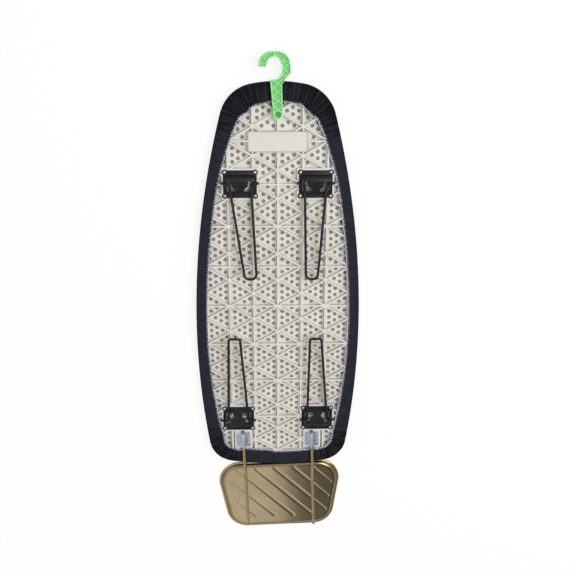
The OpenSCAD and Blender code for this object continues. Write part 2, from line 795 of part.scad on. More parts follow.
// Bracket: X across, Y towards the folded leg's tip, Z up from the deck, origin under the pivot
rise_steps = 8;
function box_side(inset) =
  let (
    run = sqrt(box_slope * box_slope + box_height * box_height) / box_height * inset,
    low = inset > 0 ? -cut : 0,
    top = box_height - inset,
    back = box_rise - box_behind
  )
    concat(
      [[back - box_rise + inset, low]],
      [
        for (k = [0:rise_steps])
          let (t = 90 * k / rise_steps)
            [back - (box_rise - inset) * cos(t), top * sin(t)]
      ],
      [
        [box_ahead - run - box_slope * top / box_height, top],
        [box_ahead - run, 0],
        [box_ahead - run, low]
      ]
    );

module box_body(width, inset) {
  rotate([90, 0, 90])
    linear_extrude(width, center = true)
      polygon(box_side(inset));
}

// Cam slot: open at the front, with a lobe inwards and a notch outwards behind the pivot
module cam_slot() {
  front = box_ahead + cut;
  polygon([
    [slot_outer, front],
    [slot_outer, notch_depth],
    [slot_outer + notch_depth, -notch_depth],
    [slot_outer + notch_depth, -slot_behind],
    [slot_inner + notch_depth, -slot_behind],
    [slot_inner, lobe_ahead - lobe_reach],
    [slot_inner - lobe_reach, lobe_ahead],
    [slot_mouth, front]
  ]);
}

module bracket_form() {
  rivets = rivet_pattern([0, bracket_rivet_ahead], bracket_rivet_x, bracket_rivet_y);
  difference() {
    union() {
      linear_extrude(bracket_sheet_t) {
        translate([0, bracket_rivet_ahead]) square([flange_width, flange_length], center = true);
        for (spot = rivets) translate(spot) circle(r = ear_radius);
      }
      box_body(box_width, 0);
    }
    box_body(box_width - 2 * bracket_sheet_t, bracket_sheet_t);
    translate([0, 0, pivot_height])
      rotate([0, 90, 0])
        cylinder(r = leg_wire_d / 2 + stub_clearance, h = box_width + 2 * cut, center = true);
    for (side = [0, 1])
      mirror([side, 0, 0])
        translate([0, 0, slot_floor]) linear_extrude(box_height) cam_slot();
    for (spot = rivets)
      translate([spot.x, spot.y, -cut])
        cylinder(r = bracket_rivet_d / 2 + rivet_clearance, h = bracket_sheet_t + 2 * cut);
  }
}

module bracket_at(place) {
  color(black_paint)
    translate([place[0], place[1], deck_top])
      rotate(place[2] > 0 ? 0 : 180)
        bracket_form();
}

module front_left_bracket() bracket_at(front_left_place);
module front_right_bracket() bracket_at(front_right_place);
module rear_left_bracket() bracket_at(rear_left_place);
module rear_right_bracket() bracket_at(rear_right_place);

// Rivet with a domed head on the sheet and a clinched end in the deck's counterbore
dome_steps = 5;
module rivet(spot, shank_d, head_d, head_h, seat_z) {
  head_r = head_d / 2;
  shank_r = shank_d / 2;
  clinch_r = shank_r + clinch_out;
  clinch_z = skin_z + clinch_inside;
  translate([spot.x, spot.y, 0])
    rotate_extrude()
      polygon(concat(
        [[0, clinch_z], [clinch_r, clinch_z], [clinch_r, clinch_z + clinch_h], [shank_r, clinch_z + clinch_h]],
        [[shank_r, seat_z]],
        [
          for (k = [0:dome_steps])
            let (t = 90 * k / dome_steps)
              [head_r * cos(t), seat_z + head_h * sin(t)]
        ]
      ));
}

module bracket_rivets(place) {
  color(zinc)
    for (spot = rivet_pattern(bracket_middle(place), bracket_rivet_x, bracket_rivet_y))
      rivet(spot, bracket_rivet_d, bracket_rivet_head_d, bracket_rivet_head_h, flange_top);
}

module front_left_bracket_rivets() bracket_rivets(front_left_place);
module front_right_bracket_rivets() bracket_rivets(front_right_place);
module rear_left_bracket_rivets() bracket_rivets(rear_left_place);
module rear_right_bracket_rivets() bracket_rivets(rear_right_place);

// Short collar on a wire where a bend starts or ends, which joins the bend to the straight wire
collar_swell = 0.02;
collar_length = 0.5;
straight_gap = 0.05;
module wire_collar(at, ahead, d) {
  translate(at)
    rotate([90, 0, ahead + 90])
      cylinder(d = d + 2 * collar_swell, h = collar_length, center = true);
}

// Round wire along a path in a plane, with a true bend at each inner point
function turn_at(path, k) =
  let (turn = heading(path[k], path[k + 1]) - heading(path[k - 1], path[k]))
    turn > 180 ? turn - 360 : turn < -180 ? turn + 360 : turn;
function bend_trim(path, bends, k) =
  k == 0 || k == len(path) - 1 ? 0 : bends[k - 1] * tan(abs(turn_at(path, k)) / 2);

module planar_wire(path, bends, d) {
  last = len(path) - 1;
  for (k = [0:last - 1]) {
    ahead = heading(path[k], path[k + 1]);
    lead = k == 0 ? 0 : bend_trim(path, bends, k) + straight_gap;
    tail = k == last - 1 ? 0 : bend_trim(path, bends, k + 1) + straight_gap;
    translate(path[k] + lead * unit_at(ahead))
      rotate([90, 0, ahead + 90])
        cylinder(d = d, h = norm(path[k + 1] - path[k]) - lead - tail);
  }
  for (k = [1:last - 1]) {
    turn = turn_at(path, k);
    way = turn < 0 ? -1 : 1;
    ahead = heading(path[k - 1], path[k]);
    trim = bend_trim(path, bends, k);
    start = path[k] - trim * unit_at(ahead);
    translate(start + way * bends[k - 1] * unit_at(ahead + 90))
      rotate(ahead - way * 90 + min(turn, 0))
        rotate_extrude(angle = abs(turn))
          translate([bends[k - 1], 0])
            circle(d = d);
    wire_collar(start, ahead, d);
    wire_collar(path[k] + trim * unit_at(ahead + turn), ahead + turn, d);
  }
}

// Leg: stubs along X in the bracket's bores, limbs along Y to the tip
module leg_at(place, lean, tip_bend) {
  stub_end = flange_width / 2 + stub_out;
  limb = limb_spread / 2;
  tip = tip_spread / 2;
  set = lean * place[2];
  path = [
    [stub_end, 0], [limb, 0], [tip + set, leg_reach], [set - tip, leg_reach], [-limb, 0], [-stub_end, 0]
  ];
  color(black_paint)
    translate([place[0], place[1], pivot_z])
      rotate(place[2] > 0 ? 0 : 180)
        rotate([folded_angle, 0, 0])
          planar_wire(path, [pivot_bend, tip_bend, tip_bend, pivot_bend], leg_wire_d);
}

round_tip_bend = (tip_spread - tip_flat) / 2;
module front_left_leg() leg_at(front_left_place, front_left_lean, round_tip_bend);
module front_right_leg() leg_at(front_right_place, front_right_lean, round_tip_bend);
module rear_left_leg() leg_at(rear_left_place, rear_left_lean, square_tip_bend);
module rear_right_leg() leg_at(rear_right_place, rear_right_lean, square_tip_bend);

// Arc of an ellipse, squarer as its power rises above that of a true ellipse
ellipse = 2;
function power_arc(centre, half_width, half_height, power, from, to, steps) = [
  for (k = [0:steps])
    let (t = lerp(from, to, k / steps))
      centre + [
        half_width * sign(cos(t)) * pow(abs(cos(t)), ellipse / power),
        half_height * sign(sin(t)) * pow(abs(sin(t)), ellipse / power)
      ]
];

// Hook outline from the back of the head over the top to the tip, round the eye and down to the foot
head_start = -7;
eye_start = 133;
head_steps = 30;
eye_steps = 24;
foot_steps = 18;
function hook_outline(inset) =
  let (
    half_width = head_half_width - inset,
    half_height = head_half_height - inset,
    tip_y = tip_rise + inset,
    head_stop = 180 - asin(pow((tip_y - head_rise) / half_height, head_squareness / 2))
  )
    concat(
      power_arc(head_c, half_width, half_height, head_squareness, head_start, head_stop, head_steps),
      [[head_offset - head_half_width + tip_width - inset, tip_y]],
      power_arc(eye_c, eye_half_width + inset, eye_half_height + inset, ellipse, eye_start, -90, eye_steps),
      [[inset - ledge_reach, ledge_y - inset]],
      power_arc([0, 0], hook_foot_r - inset, hook_foot_r - inset, ellipse, 180, 360, foot_steps),
      [[neck_reach - inset, neck_rise]]
    );

// Ribs of the hook: trusses between the head's two rims and crosses along the shank.
// A truss point is on the outer rim (1) or the eye's rim (0), at an angle round the head.
head_trusses = [
  [[0, -42], [1, -13], [0, 0], [1, 15], [0, 38], [1, 46]],
  [[0, 90], [1, 90]],
  [[1, 132], [0, 148], [1, 168]]
];
function truss_point(place) =
  let (t = place[1])
    place[0] == 0
      ? power_arc(eye_c, eye_half_width, eye_half_height, ellipse, t, t, 1)[0]
      : power_arc(head_c, head_half_width, head_half_height, head_squareness, t, t, 1)[0];

module hook_ribs() {
  for (truss = head_trusses, k = [1:len(truss) - 1]) {
    from = truss_point(truss[k - 1]);
    to = truss_point(truss[k]);
    translate((from + to) / 2)
      rotate(heading(from, to))
        square([norm(to - from), hook_rib_t], center = true);
  }
  for (y = [cross_top:-cross_pitch:hook_foot_r], tilt = [-1, 1])
    translate([0, y])
      rotate(tilt * cross_angle)
        square([2 * (ledge_reach + neck_reach), hook_rib_t], center = true);
}

module hook_pockets() {
  difference() {
    polygon(hook_outline(hook_rim));
    circle(r = hook_foot_r);
    hook_ribs();
  }
}

module snap_peg() {
  bead_r = peg_r + bead_out;
  difference() {
    rotate_extrude()
      polygon([
        [peg_hollow_r, peg_end_z],
        [peg_r, peg_end_z],
        [bead_r, bead_top_z - bead_out],
        [bead_r, bead_top_z],
        [peg_r, bead_top_z],
        [peg_r, hook_z + cut],
        [peg_hollow_r, hook_z + cut]
      ]);
    for (turn = [0, 90])
      rotate(turn)
        translate([0, 0, (peg_end_z + grip_z) / 2])
          cube([2 * bead_r + cut, peg_slit, grip_z - peg_end_z + cut], center = true);
  }
}

module hook() {
  color(hook_green)
    translate([0, hook_y, 0])
      rotate(hook_lean) {
        difference() {
          translate([0, 0, hook_z]) linear_extrude(hook_t) polygon(hook_outline(0));
          translate([0, 0, hook_z + hook_t - pocket_depth]) linear_extrude(pocket_depth + cut) hook_pockets();
          translate([0, 0, hook_z - cut]) linear_extrude(pocket_depth + cut) hook_pockets();
          translate([0, 0, hook_z + hook_t - recess_depth]) cylinder(r = recess_r, h = recess_depth + cut);
          translate([0, 0, hook_z - cut])
            cylinder(r = peg_hollow_r, h = hook_t - recess_depth - foot_web + cut);
        }
        snap_peg();
      }
}

// Turns the rest or one of its sleeves about a point level with the sleeves' mouths
module askew_about(x) {
  translate([x, sleeve_mouth_y, 0]) rotate(rest_askew) translate([-x, -sleeve_mouth_y, 0]) children();
}

// Half width of a channel's straight sides for each millimetre of its radius
channel_side = 0.99;

// Sleeve: a flat flange with a half-round channel over the rod
module channel_shape(radius) {
  translate([0, rod_z]) circle(r = radius);
  translate([-radius * channel_side, deck_top]) square([2 * radius * channel_side, rod_z - deck_top]);
}

module sleeve_at(middle) {
  bore_r = rod_d / 2 + rod_clearance;
  color(zinc)
    askew_about(middle.x)
      translate([middle.x, middle.y, 0])
        difference() {
          union() {
            translate([0, 0, deck_top])
              linear_extrude(sleeve_sheet_t)
                polygon(rounded_rectangle(sleeve_width, sleeve_length, sleeve_corner));
            rotate([90, 0, 0])
              linear_extrude(sleeve_length, center = true)
                channel_shape(bore_r + sleeve_sheet_t);
          }
          rotate([90, 0, 0])
            linear_extrude(sleeve_length + 2 * cut, center = true) {
              channel_shape(bore_r);
              translate([-bore_r * channel_side, deck_top - cut])
                square([2 * bore_r * channel_side, 2 * cut]);
            }
          for (spot = rivet_pattern([0, 0], sleeve_rivet_x, sleeve_rivet_y))
            translate([spot.x, spot.y, deck_top - cut])
              cylinder(r = sleeve_rivet_d / 2 + rivet_clearance, h = sleeve_sheet_t + 2 * cut);
        }
}

module sleeve_rivets(middle) {
  color(zinc)
    for (spot = sleeve_spots(middle))
      rivet(spot, sleeve_rivet_d, sleeve_rivet_head_d, sleeve_rivet_head_h, sleeve_top);
}

module left_rod_sleeve() sleeve_at(sleeve_middles[0]);
module right_rod_sleeve() sleeve_at(sleeve_middles[1]);
module left_sleeve_rivets() sleeve_rivets(sleeve_middles[0]);
module right_sleeve_rivets() sleeve_rivets(sleeve_middles[1]);

// Rod: level through its sleeve and over the hem, down past the cover's edge and along the tray
module rod_at(x) {
  slope_top_y = cover_heel_y - rod_past_edge;
  path = [
    [sleeve_mouth_y + sleeve_length + rod_inner_end, rod_z],
    [slope_top_y, rod_z],
    [slope_top_y - rod_slope, rod_on_tray_z],
    [tray_outer_y + rod_short, rod_on_tray_z]
  ];
  color(yellow_zinc)
    askew_about(x)
      translate([x, 0, 0])
        rotate([90, 0, 90])
          planar_wire(path, [rod_bend, rod_bend], rod_d);
}

module left_tray_rod() rod_at(-rod_x);
module right_tray_rod() rod_at(rod_x);

// Tray section, in from its edge: iron side of the wall, round the rolled edge and back to the panel
iron_side_angles = [0:15:75];
bead_angles = [180:30:480];
rod_side_angles = [70:-14:0];
tray_section =
  let (
    bead_r = tray_bead_d / 2,
    bead_z = tray_lift + bead_r,
    flat_from = tray_bead_d + tray_wall,
    reach = tray_wall + tray_sheet_t,
    drop = panel_z - bead_z
  )
    concat(
      [
        for (t = iron_side_angles)
          [flat_from - tray_wall * sin(t), bead_z + (drop - tray_sheet_t) * cos(t)]
      ],
      [for (t = bead_angles) [bead_r - bead_r * cos(t), bead_z + bead_r * sin(t)]],
      [for (t = rod_side_angles) [flat_from - reach * sin(t), bead_z + drop * cos(t)]]
    );
tray_corner_steps = 8;
tray_stops = [
  for (corner = [0:3], k = [0:tray_corner_steps])
    let (
      from = corner == 0 ? 90 : tray_side_angles[corner - 1],
      to = tray_side_angles[corner]
    )
      [tray_corners[corner], tray_corner, lerp(from, to, k / tray_corner_steps)]
];

module tray_pan() {
  middle_y = (tray_inner_y + tray_outer_y) / 2;
  lofted_shell(
    tray_stops,
    [for (s = tray_stops) tray_section],
    0,
    [0, middle_y, panel_z - tray_sheet_t],
    [0, middle_y, panel_z]
  );
}

// Embossed ribs: slanting lines across the panel, cut to the field inside the margin
emboss_r = emboss_width * emboss_width / (8 * emboss_depth) + emboss_depth / 2;
emboss_axis_z = panel_z + emboss_r - emboss_depth;
emboss_count = ceil((tray_inner_width + tray_length) / emboss_pitch);
emboss_lines = [
  for (k = [-emboss_count:emboss_count])
    let (
      top = [emboss_offset + k * emboss_pitch, tray_inner_y - emboss_inner_margin],
      ahead = unit_at(emboss_angle),
      slant = ahead.y * tan(tray_taper),
      room = tray_side_x(top.y),
      from = max(0, (emboss_left_margin - room - top.x) / (ahead.x + slant)),
      to = min(
        (room - emboss_right_margin - top.x) / (ahead.x - slant),
        (tray_outer_y + emboss_outer_margin - top.y) / ahead.y
      )
    )
      if (to - from > emboss_shortest) [top + from * ahead, to - from]
];

// Round bar that narrows at both ends until it leaves the sheet
module emboss_bar(line, radius) {
  end_r = radius - emboss_depth - tray_sheet_t / 2;
  translate([line[0].x, line[0].y, emboss_axis_z])
    rotate([0, 90, emboss_angle])
      rotate_extrude()
        polygon([
          [0, 0], [end_r, 0], [radius, emboss_run], [radius, line[1] - emboss_run], [end_r, line[1]], [0, line[1]]
        ]);
}

module iron_tray() {
  ridge_top = panel_z - tray_sheet_t / 2;
  ridge_h = emboss_depth + tray_sheet_t;
  color(tray_gold)
    askew_about(0)
      difference() {
        union() {
          tray_pan();
          for (line = emboss_lines)
            intersection() {
              emboss_bar(line, emboss_r + tray_sheet_t);
              translate([-tray_inner_width, tray_outer_y - cut, ridge_top - ridge_h])
                cube([2 * tray_inner_width, tray_length + 2 * cut, ridge_h]);
            }
        }
        for (line = emboss_lines) emboss_bar(line, emboss_r);
      }
}

deck();
pad();
cover();
hem_elastic();
hook();
front_left_bracket();
front_right_bracket();
rear_left_bracket();
rear_right_bracket();
front_left_bracket_rivets();
front_right_bracket_rivets();
rear_left_bracket_rivets();
rear_right_bracket_rivets();
front_left_leg();
front_right_leg();
rear_left_leg();
rear_right_leg();
left_rod_sleeve();
right_rod_sleeve();
left_sleeve_rivets();
right_sleeve_rivets();
left_tray_rod();
right_tray_rod();
iron_tray();
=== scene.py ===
"""Looks of a folded table-top ironing board, lying on its ironing face with the underside up.

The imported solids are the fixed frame. The rigid ones are dressed where they lie, and the cover, pad,
elastic, overlocked edge and iron pan are modelled here in the same frame, in metres.
"""

import logging
import math
import random
from dataclasses import dataclass, field
from enum import Enum, IntEnum
from typing import Any, ClassVar, Sequence

import bmesh
import bpy
from mathutils import Matrix, Vector, noise


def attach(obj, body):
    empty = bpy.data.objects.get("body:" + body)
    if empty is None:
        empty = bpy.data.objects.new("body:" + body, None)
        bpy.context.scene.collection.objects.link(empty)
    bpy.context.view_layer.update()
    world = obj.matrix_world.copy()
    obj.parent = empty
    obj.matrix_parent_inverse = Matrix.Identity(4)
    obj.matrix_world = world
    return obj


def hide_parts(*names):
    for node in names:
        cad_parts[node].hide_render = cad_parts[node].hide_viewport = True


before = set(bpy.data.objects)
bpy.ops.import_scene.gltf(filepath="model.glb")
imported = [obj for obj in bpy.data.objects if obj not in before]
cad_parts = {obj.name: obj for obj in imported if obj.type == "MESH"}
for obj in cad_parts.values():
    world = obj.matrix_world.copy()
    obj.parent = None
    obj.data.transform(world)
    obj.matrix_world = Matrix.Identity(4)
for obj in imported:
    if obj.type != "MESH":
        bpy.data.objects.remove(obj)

LOG = logging.getLogger("ironing_board")
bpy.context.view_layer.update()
MM = 0.001
SEED = 41
MULTIPLY = {"data_type": "RGBA", "blend_type": "MULTIPLY"}
WHITE = "#FFFFFF"

Tones = tuple[tuple[float, str], ...]
Arc = tuple[Vector, float, float, float]
EdgePlace = tuple[Vector, Vector]


class Body(str, Enum):
    """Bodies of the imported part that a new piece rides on."""

    BOARD = "board"
    IRON_REST = "iron_rest"


class Slot(str, Enum):
    """Material slots of the record; no piece here takes its finish from them."""

    COVER = "cover_cloth"
    PAD = "pad_felt"
    ELASTIC = "elastic_band"
    TRAY = "tray_gold"


class Stretch(IntEnum):
    """Stretches of the board's edge on one side, from nose to heel."""

    NOSE = 0
    SHOULDER = 1
    SIDE = 2
    CORNER = 3
    HEEL = 4


def linear(colour: str) -> tuple[float, float, float, float]:
    """Turn an sRGB hex colour into linear RGBA.

    Args:
        colour: Six hex digits after a hash sign.

    Returns:
        Linear red, green and blue, and an alpha of 1.
    """
    parts = [int(colour[i : i + 2], 16) / 255 for i in (1, 3, 5)]
    return (*(c / 12.92 if c <= 0.04045 else ((c + 0.055) / 1.055) ** 2.4 for c in parts), 1.0)


def smooth(low: float, high: float, value: float) -> float:
    """Rise smoothly from 0 at low to 1 at high."""
    t = min(1.0, max(0.0, (value - low) / (high - low)))
    return t * t * (3 - 2 * t)


def fade(distance: float, length: float) -> float:
    """Fall from 1 at no distance to 0 at the length."""
    return max(0.0, 1 - distance / length) ** 2


def per_metre(size_mm: float) -> float:
    """Scale of a texture whose features are the given size."""
    return 1.0 / (size_mm * MM)


def grain(size_mm: float, detail: float = 3.0) -> dict[str, float]:
    """Values for a noise texture whose features are the given size."""
    return {"Scale": per_metre(size_mm), "Detail": detail, "Roughness": 0.55}


def add_node(
    tree: bpy.types.NodeTree, kind: str, settings: dict[str, Any] | None = None, tones: Tones = (),
    **sockets: Any,
) -> bpy.types.Node:
    """Add one shader node with its settings and links.

    Args:
        tree: Node tree that gets the node.
        kind: Blender's name of the node type, after "ShaderNode".
        settings: Attributes of the node itself.
        tones: Positions and hex colours of a colour ramp, in rising order.
        **sockets: Values, output sockets, or nodes that give their first output, for its inputs: by name
            with underscores for spaces, or by number as i0, i1 and so on.

    Returns:
        The new node.
    """
    node = tree.nodes.new("ShaderNode" + kind)
    for name, value in (settings or {}).items():
        setattr(node, name, value)
    if tones:
        elements = node.color_ramp.elements
        while len(elements) < len(tones):
            elements.new(0.5)
        for element, (position, colour) in zip(elements, tones):
            element.position = position
            element.color = linear(colour)
    for name, value in sockets.items():
        key = int(name[1:]) if name[0] == "i" and name[1:].isdigit() else name.replace("_", " ")
        socket = node.inputs[key]
        if isinstance(value, bpy.types.Node):
            value = value.outputs[0]
        if isinstance(value, bpy.types.NodeSocket):
            tree.links.new(value, socket)
        else:
            socket.default_value = value
    return node


def empty_tree(owner: bpy.types.Material | bpy.types.World) -> bpy.types.NodeTree:
    """Give a material or world a node tree with nothing in it.

    Args:
        owner: The new material or world.

    Returns:
        Its empty tree.
    """
    owner.use_nodes = True
    owner.node_tree.nodes.clear()
    return owner.node_tree


@dataclass(frozen=True)
class Finish:
    """A surface finish, named for what it really is."""

    name: str

    def surface(self, tree: bpy.types.NodeTree, place: bpy.types.NodeSocket) -> dict[str, Any]:
        """Add the finish's nodes.

        Args:
            tree: Node tree of the material.
            place: Object coordinates.

        Returns:
            Values and links for the shader's inputs.
        """
        raise NotImplementedError

    def material(self) -> bpy.types.Material:
        """Make the node material, once for all the pieces that share it.

        Returns:
            The material.
        """
        made = bpy.data.materials.get(self.name)
        if made:
            return made
        material = bpy.data.materials.new(self.name)
        tree = empty_tree(material)
        place = add_node(tree, "TexCoord").outputs["Object"]
        shader = add_node(tree, "BsdfPrincipled", **self.surface(tree, place))
        add_node(tree, "OutputMaterial", Surface=shader)
        return material


@dataclass(frozen=True)
class RecessShade:
    """Painted shade: a deeper colour on a moulding's recessed faces, the lower the face the deeper.

    Attributes:
        depths: Heights over the ironing face in millimetres with the tint at each, in rising order.
    """

    depths: Tones

    def tint(self, tree: bpy.types.NodeTree, place: bpy.types.NodeSocket) -> bpy.types.Node:
        """Add the tint's nodes.

        Args:
            tree: Node tree of the material.
            place: Object coordinates.

        Returns:
            The node with the colour to multiply by.
        """
        low, high = self.depths[0][0], self.depths[-1][0]
        height = add_node(tree, "SeparateXYZ", Vector=place).outputs["Z"]
        share = add_node(tree, "MapRange", Value=height, From_Min=low * MM, From_Max=high * MM)
        tones = tuple(((z - low) / (high - low), shade) for z, shade in self.depths)
        return add_node(tree, "ValToRGB", tones=tones, Fac=share)


@dataclass(frozen=True)
class LabelField:
    """Plain field of a moulding, in millimetres: a shade greyer, with a painted shade line along its
    border.
    """

    centre_y: float = 290.0
    half: tuple[float, float] = (55.9, 18.9)
    corner: float = 7.0
    blur: float = 1.3
    # The two middle tones are the painted shade line along the field's border.
    tones: Tones = ((0.2, "#F9F9FB"), (0.4, "#A89F91"), (0.6, "#A89F91"), (0.8, WHITE))

    def tint(self, tree: bpy.types.NodeTree, place: bpy.types.NodeSocket) -> bpy.types.Node:
        """Add the tint's nodes, which go by the distance to the field's rounded border.

        Args:
            tree: Node tree of the material.
            place: Object coordinates.

        Returns:
            The node with the colour to multiply by.
        """
        any_height = 1.0
        centre = (0, self.centre_y * MM, 0)
        flat = [(side - self.corner) * MM for side in self.half]
        moved = add_node(tree, "VectorMath", {"operation": "SUBTRACT"}, i0=place, i1=centre)
        folded = add_node(tree, "VectorMath", {"operation": "ABSOLUTE"}, i0=moved)
        past = add_node(tree, "VectorMath", {"operation": "SUBTRACT"}, i0=folded, i1=(*flat, any_height))
        corner = add_node(tree, "VectorMath", {"operation": "MAXIMUM"}, i0=past, i1=(0, 0, 0))
        reach = add_node(tree, "VectorMath", {"operation": "LENGTH"}, i0=corner).outputs["Value"]
        share = add_node(
            tree, "MapRange", Value=reach,
            From_Min=(self.corner - self.blur) * MM, From_Max=(self.corner + self.blur) * MM,
        )
        return add_node(tree, "ValToRGB", tones=self.tones, Fac=share)


@dataclass(frozen=True)
class MouldedPlastic(Finish):
    """Injection-moulded polypropylene: a fine spark-eroded grain, slightly uneven in tone.

    The grain is finer than a pixel, so it is drawn at a millimetre, just coarse enough to soften
    highlights.
    """

    light: str
    dark: str
    roughness: float
    gloss_spread: tuple[float, float] = (-0.05, 0.06)
    grain_mm: float = 1.1
    grain_depth_mm: float = 0.03
    grain_strength: float = 0.5
    cloud_mm: float = 34.0
    ior: float = 1.49
    tints: tuple[RecessShade | LabelField, ...] = ()

    def surface(self, tree: bpy.types.NodeTree, place: bpy.types.NodeSocket) -> dict[str, Any]:
        """Add cloudy tone, tints (painted shade, and a greyer label field), uneven gloss and grain.

        Args:
            tree: Node tree of the material.
            place: Object coordinates.

        Returns:
            Values and links for the shader's inputs.
        """
        cloud = add_node(tree, "TexNoise", Vector=place, **grain(self.cloud_mm, 4.0))
        tones = ((0.3, self.dark), (0.7, self.light))
        colour = add_node(tree, "ValToRGB", tones=tones, Fac=cloud).outputs[0]
        # Tints multiply the colour: painted shade in recesses and along a label's border.
        for part in self.tints:
            tint = part.tint(tree, place)
            colour = add_node(tree, "Mix", MULTIPLY, Factor=1.0, i6=colour, i7=tint).outputs[2]
        patches = add_node(tree, "TexNoise", Vector=place, **grain(self.cloud_mm / 4))
        smoothest, roughest = (self.roughness + spread for spread in self.gloss_spread)
        sparks = add_node(tree, "TexNoise", Vector=place, **grain(self.grain_mm))
        depth = self.grain_depth_mm * MM
        return {
            "Base_Color": colour,
            "Roughness": add_node(tree, "MapRange", Value=patches, To_Min=smoothest, To_Max=roughest),
            "Normal": add_node(tree, "Bump", Height=sparks, Distance=depth, Strength=self.grain_strength),
            "IOR": self.ior,
        }


@dataclass(frozen=True)
class CottonCloth(Finish):
    """Plain-woven cotton dyed near-black navy: matt, with a faint sheen, and painted shade: paler on fold
    tops and flat hem, darker in the gathers.

    The real threads are 0.4 mm apart; they are drawn at 1.6 mm so that the weave still shows.
    """

    name: str = "plain_weave_cotton"
    tones: Tones = ((0.0, "#0D0E12"), (0.3, "#131419"), (0.6, "#23252D"), (1.0, "#30323C"))
    sheen: str = "#5A6078"
    thread_mm: float = 1.6
    thread_depth_mm: float = 0.12
    thread_strength: float = 0.35
    slub: float = 0.6
    cloud_mm: float = 9.0
    cloud_range: tuple[float, float] = (-0.1, 0.25)
    painted_shade_gain: float = 0.8
    roughness: float = 0.88

    def surface(self, tree: bpy.types.NodeTree, place: bpy.types.NodeSocket) -> dict[str, Any]:
        """Add the weave, and a tone from a cloud and from painted shade that goes by the folds' height and
        gathers.

        Args:
            tree: Node tree of the material.
            place: Object coordinates.

        Returns:
            Values and links for the shader's inputs.
        """
        spacing = per_metre(self.thread_mm) / (2 * math.pi)
        warp, weft = (
            add_node(
                tree, "TexWave", {"bands_direction": way}, Vector=place, Scale=spacing, Distortion=self.slub
            ).outputs["Fac"]
            for way in ("X", "Y")
        )
        weave = add_node(tree, "Math", {"operation": "MULTIPLY"}, i0=warp, i1=weft)
        patches = add_node(tree, "TexNoise", Vector=place, **grain(self.cloud_mm, 5.0))
        darkest, palest = self.cloud_range
        cloud = add_node(tree, "MapRange", Value=patches, To_Min=darkest, To_Max=palest)
        height = add_node(tree, "Attribute", {"attribute_name": "fold_height"}).outputs["Fac"]
        tone = add_node(tree, "Math", {"operation": "MULTIPLY_ADD"}, i0=height, i1=self.painted_shade_gain, i2=cloud)
        depth = self.thread_depth_mm * MM
        return {
            "Base_Color": add_node(tree, "ValToRGB", tones=self.tones, Fac=tone),
            "Normal": add_node(tree, "Bump", Height=weave, Distance=depth, Strength=self.thread_strength),
            "Roughness": self.roughness,
            "Sheen_Weight": 0.05,
            "Sheen_Roughness": 0.5,
            "Sheen_Tint": linear(self.sheen),
            "Specular_IOR_Level": 0.12,
            "IOR": 1.45,
        }


@dataclass(frozen=True)
class NeedleFelt(Finish):
    """Grey needle felt: tangled fibres, quite matt, with darker flecks."""

    name: str = "needle_felt"
    light: str = "#A8A298"
    dark: str = "#76716A"
    fibre_mm: float = 1.8
    fibre_depth_mm: float = 0.5
    fibre_strength: float = 0.6

    def surface(self, tree: bpy.types.NodeTree, place: bpy.types.NodeSocket) -> dict[str, Any]:
        """Add the fibres.

        Args:
            tree: Node tree of the material.
            place: Object coordinates.

        Returns:
            Values and links for the shader's inputs.
        """
        fibres = add_node(tree, "TexNoise", Vector=place, **grain(self.fibre_mm, 6.0))
        tones = ((0.3, self.dark), (0.68, self.light))
        depth = self.fibre_depth_mm * MM
        return {
            "Base_Color": add_node(tree, "ValToRGB", tones=tones, Fac=fibres),
            "Normal": add_node(tree, "Bump", Height=fibres, Distance=depth, Strength=self.fibre_strength),
            "Roughness": 0.95,
            "Sheen_Weight": 0.3,
        }


@dataclass(frozen=True)
class SpunThread(Finish):
    """Polyester thread or woven elastic: pale, softly glossy, with a twist of a real pitch."""

    light: str
    dark: str
    twist_mm: float = 0.9
    twist_depth_mm: float = 0.08
    twist_strength: float = 0.4

    def surface(self, tree: bpy.types.NodeTree, place: bpy.types.NodeSocket) -> dict[str, Any]:
        """Add the twist.

        Args:
            tree: Node tree of the material.
            place: Object coordinates.

        Returns:
            Values and links for the shader's inputs.
        """
        twist = add_node(
            tree, "TexWave", {"bands_direction": "DIAGONAL"}, Vector=place,
            Scale=per_metre(self.twist_mm) / (2 * math.pi), Distortion=1.0,
        ).outputs["Fac"]
        tones = ((0.1, self.dark), (0.75, self.light))
        depth = self.twist_depth_mm * MM
        return {
            "Base_Color": add_node(tree, "ValToRGB", tones=tones, Fac=twist),
            "Normal": add_node(tree, "Bump", Height=twist, Distance=depth, Strength=self.twist_strength),
            "Roughness": 0.6,
            "Sheen_Weight": 0.2,
        }


@dataclass(frozen=True)
class PowderCoat(Finish):
    """Black polyester powder coat on steel: satin, with a fine orange peel and scuffed high spots."""

    name: str = "black_powder_coat"
    light: str = "#191A1F"
    dark: str = "#0F1014"
    scuff_mm: float = 12.0
    peel_mm: float = 1.4
    peel_depth_mm: float = 0.05
    peel_strength: float = 0.35
    roughness: float = 0.38
    gloss_spread: tuple[float, float] = (-0.07, 0.09)

    def surface(self, tree: bpy.types.NodeTree, place: bpy.types.NodeSocket) -> dict[str, Any]:
        """Add scuffs and orange peel.

        Args:
            tree: Node tree of the material.
            place: Object coordinates.

        Returns:
            Values and links for the shader's inputs.
        """
        scuffs = add_node(tree, "TexNoise", Vector=place, **grain(self.scuff_mm, 5.0))
        peel = add_node(tree, "TexNoise", Vector=place, **grain(self.peel_mm, 1.0))
        tones = ((0.3, self.dark), (0.72, self.light))
        smoothest, roughest = (self.roughness + spread for spread in self.gloss_spread)
        depth = self.peel_depth_mm * MM
        return {
            "Base_Color": add_node(tree, "ValToRGB", tones=tones, Fac=scuffs),
            "Roughness": add_node(tree, "MapRange", Value=scuffs, To_Min=smoothest, To_Max=roughest),
            "Normal": add_node(tree, "Bump", Height=peel, Distance=depth, Strength=self.peel_strength),
            "IOR": 1.5,
            "Specular_IOR_Level": 0.22,
        }


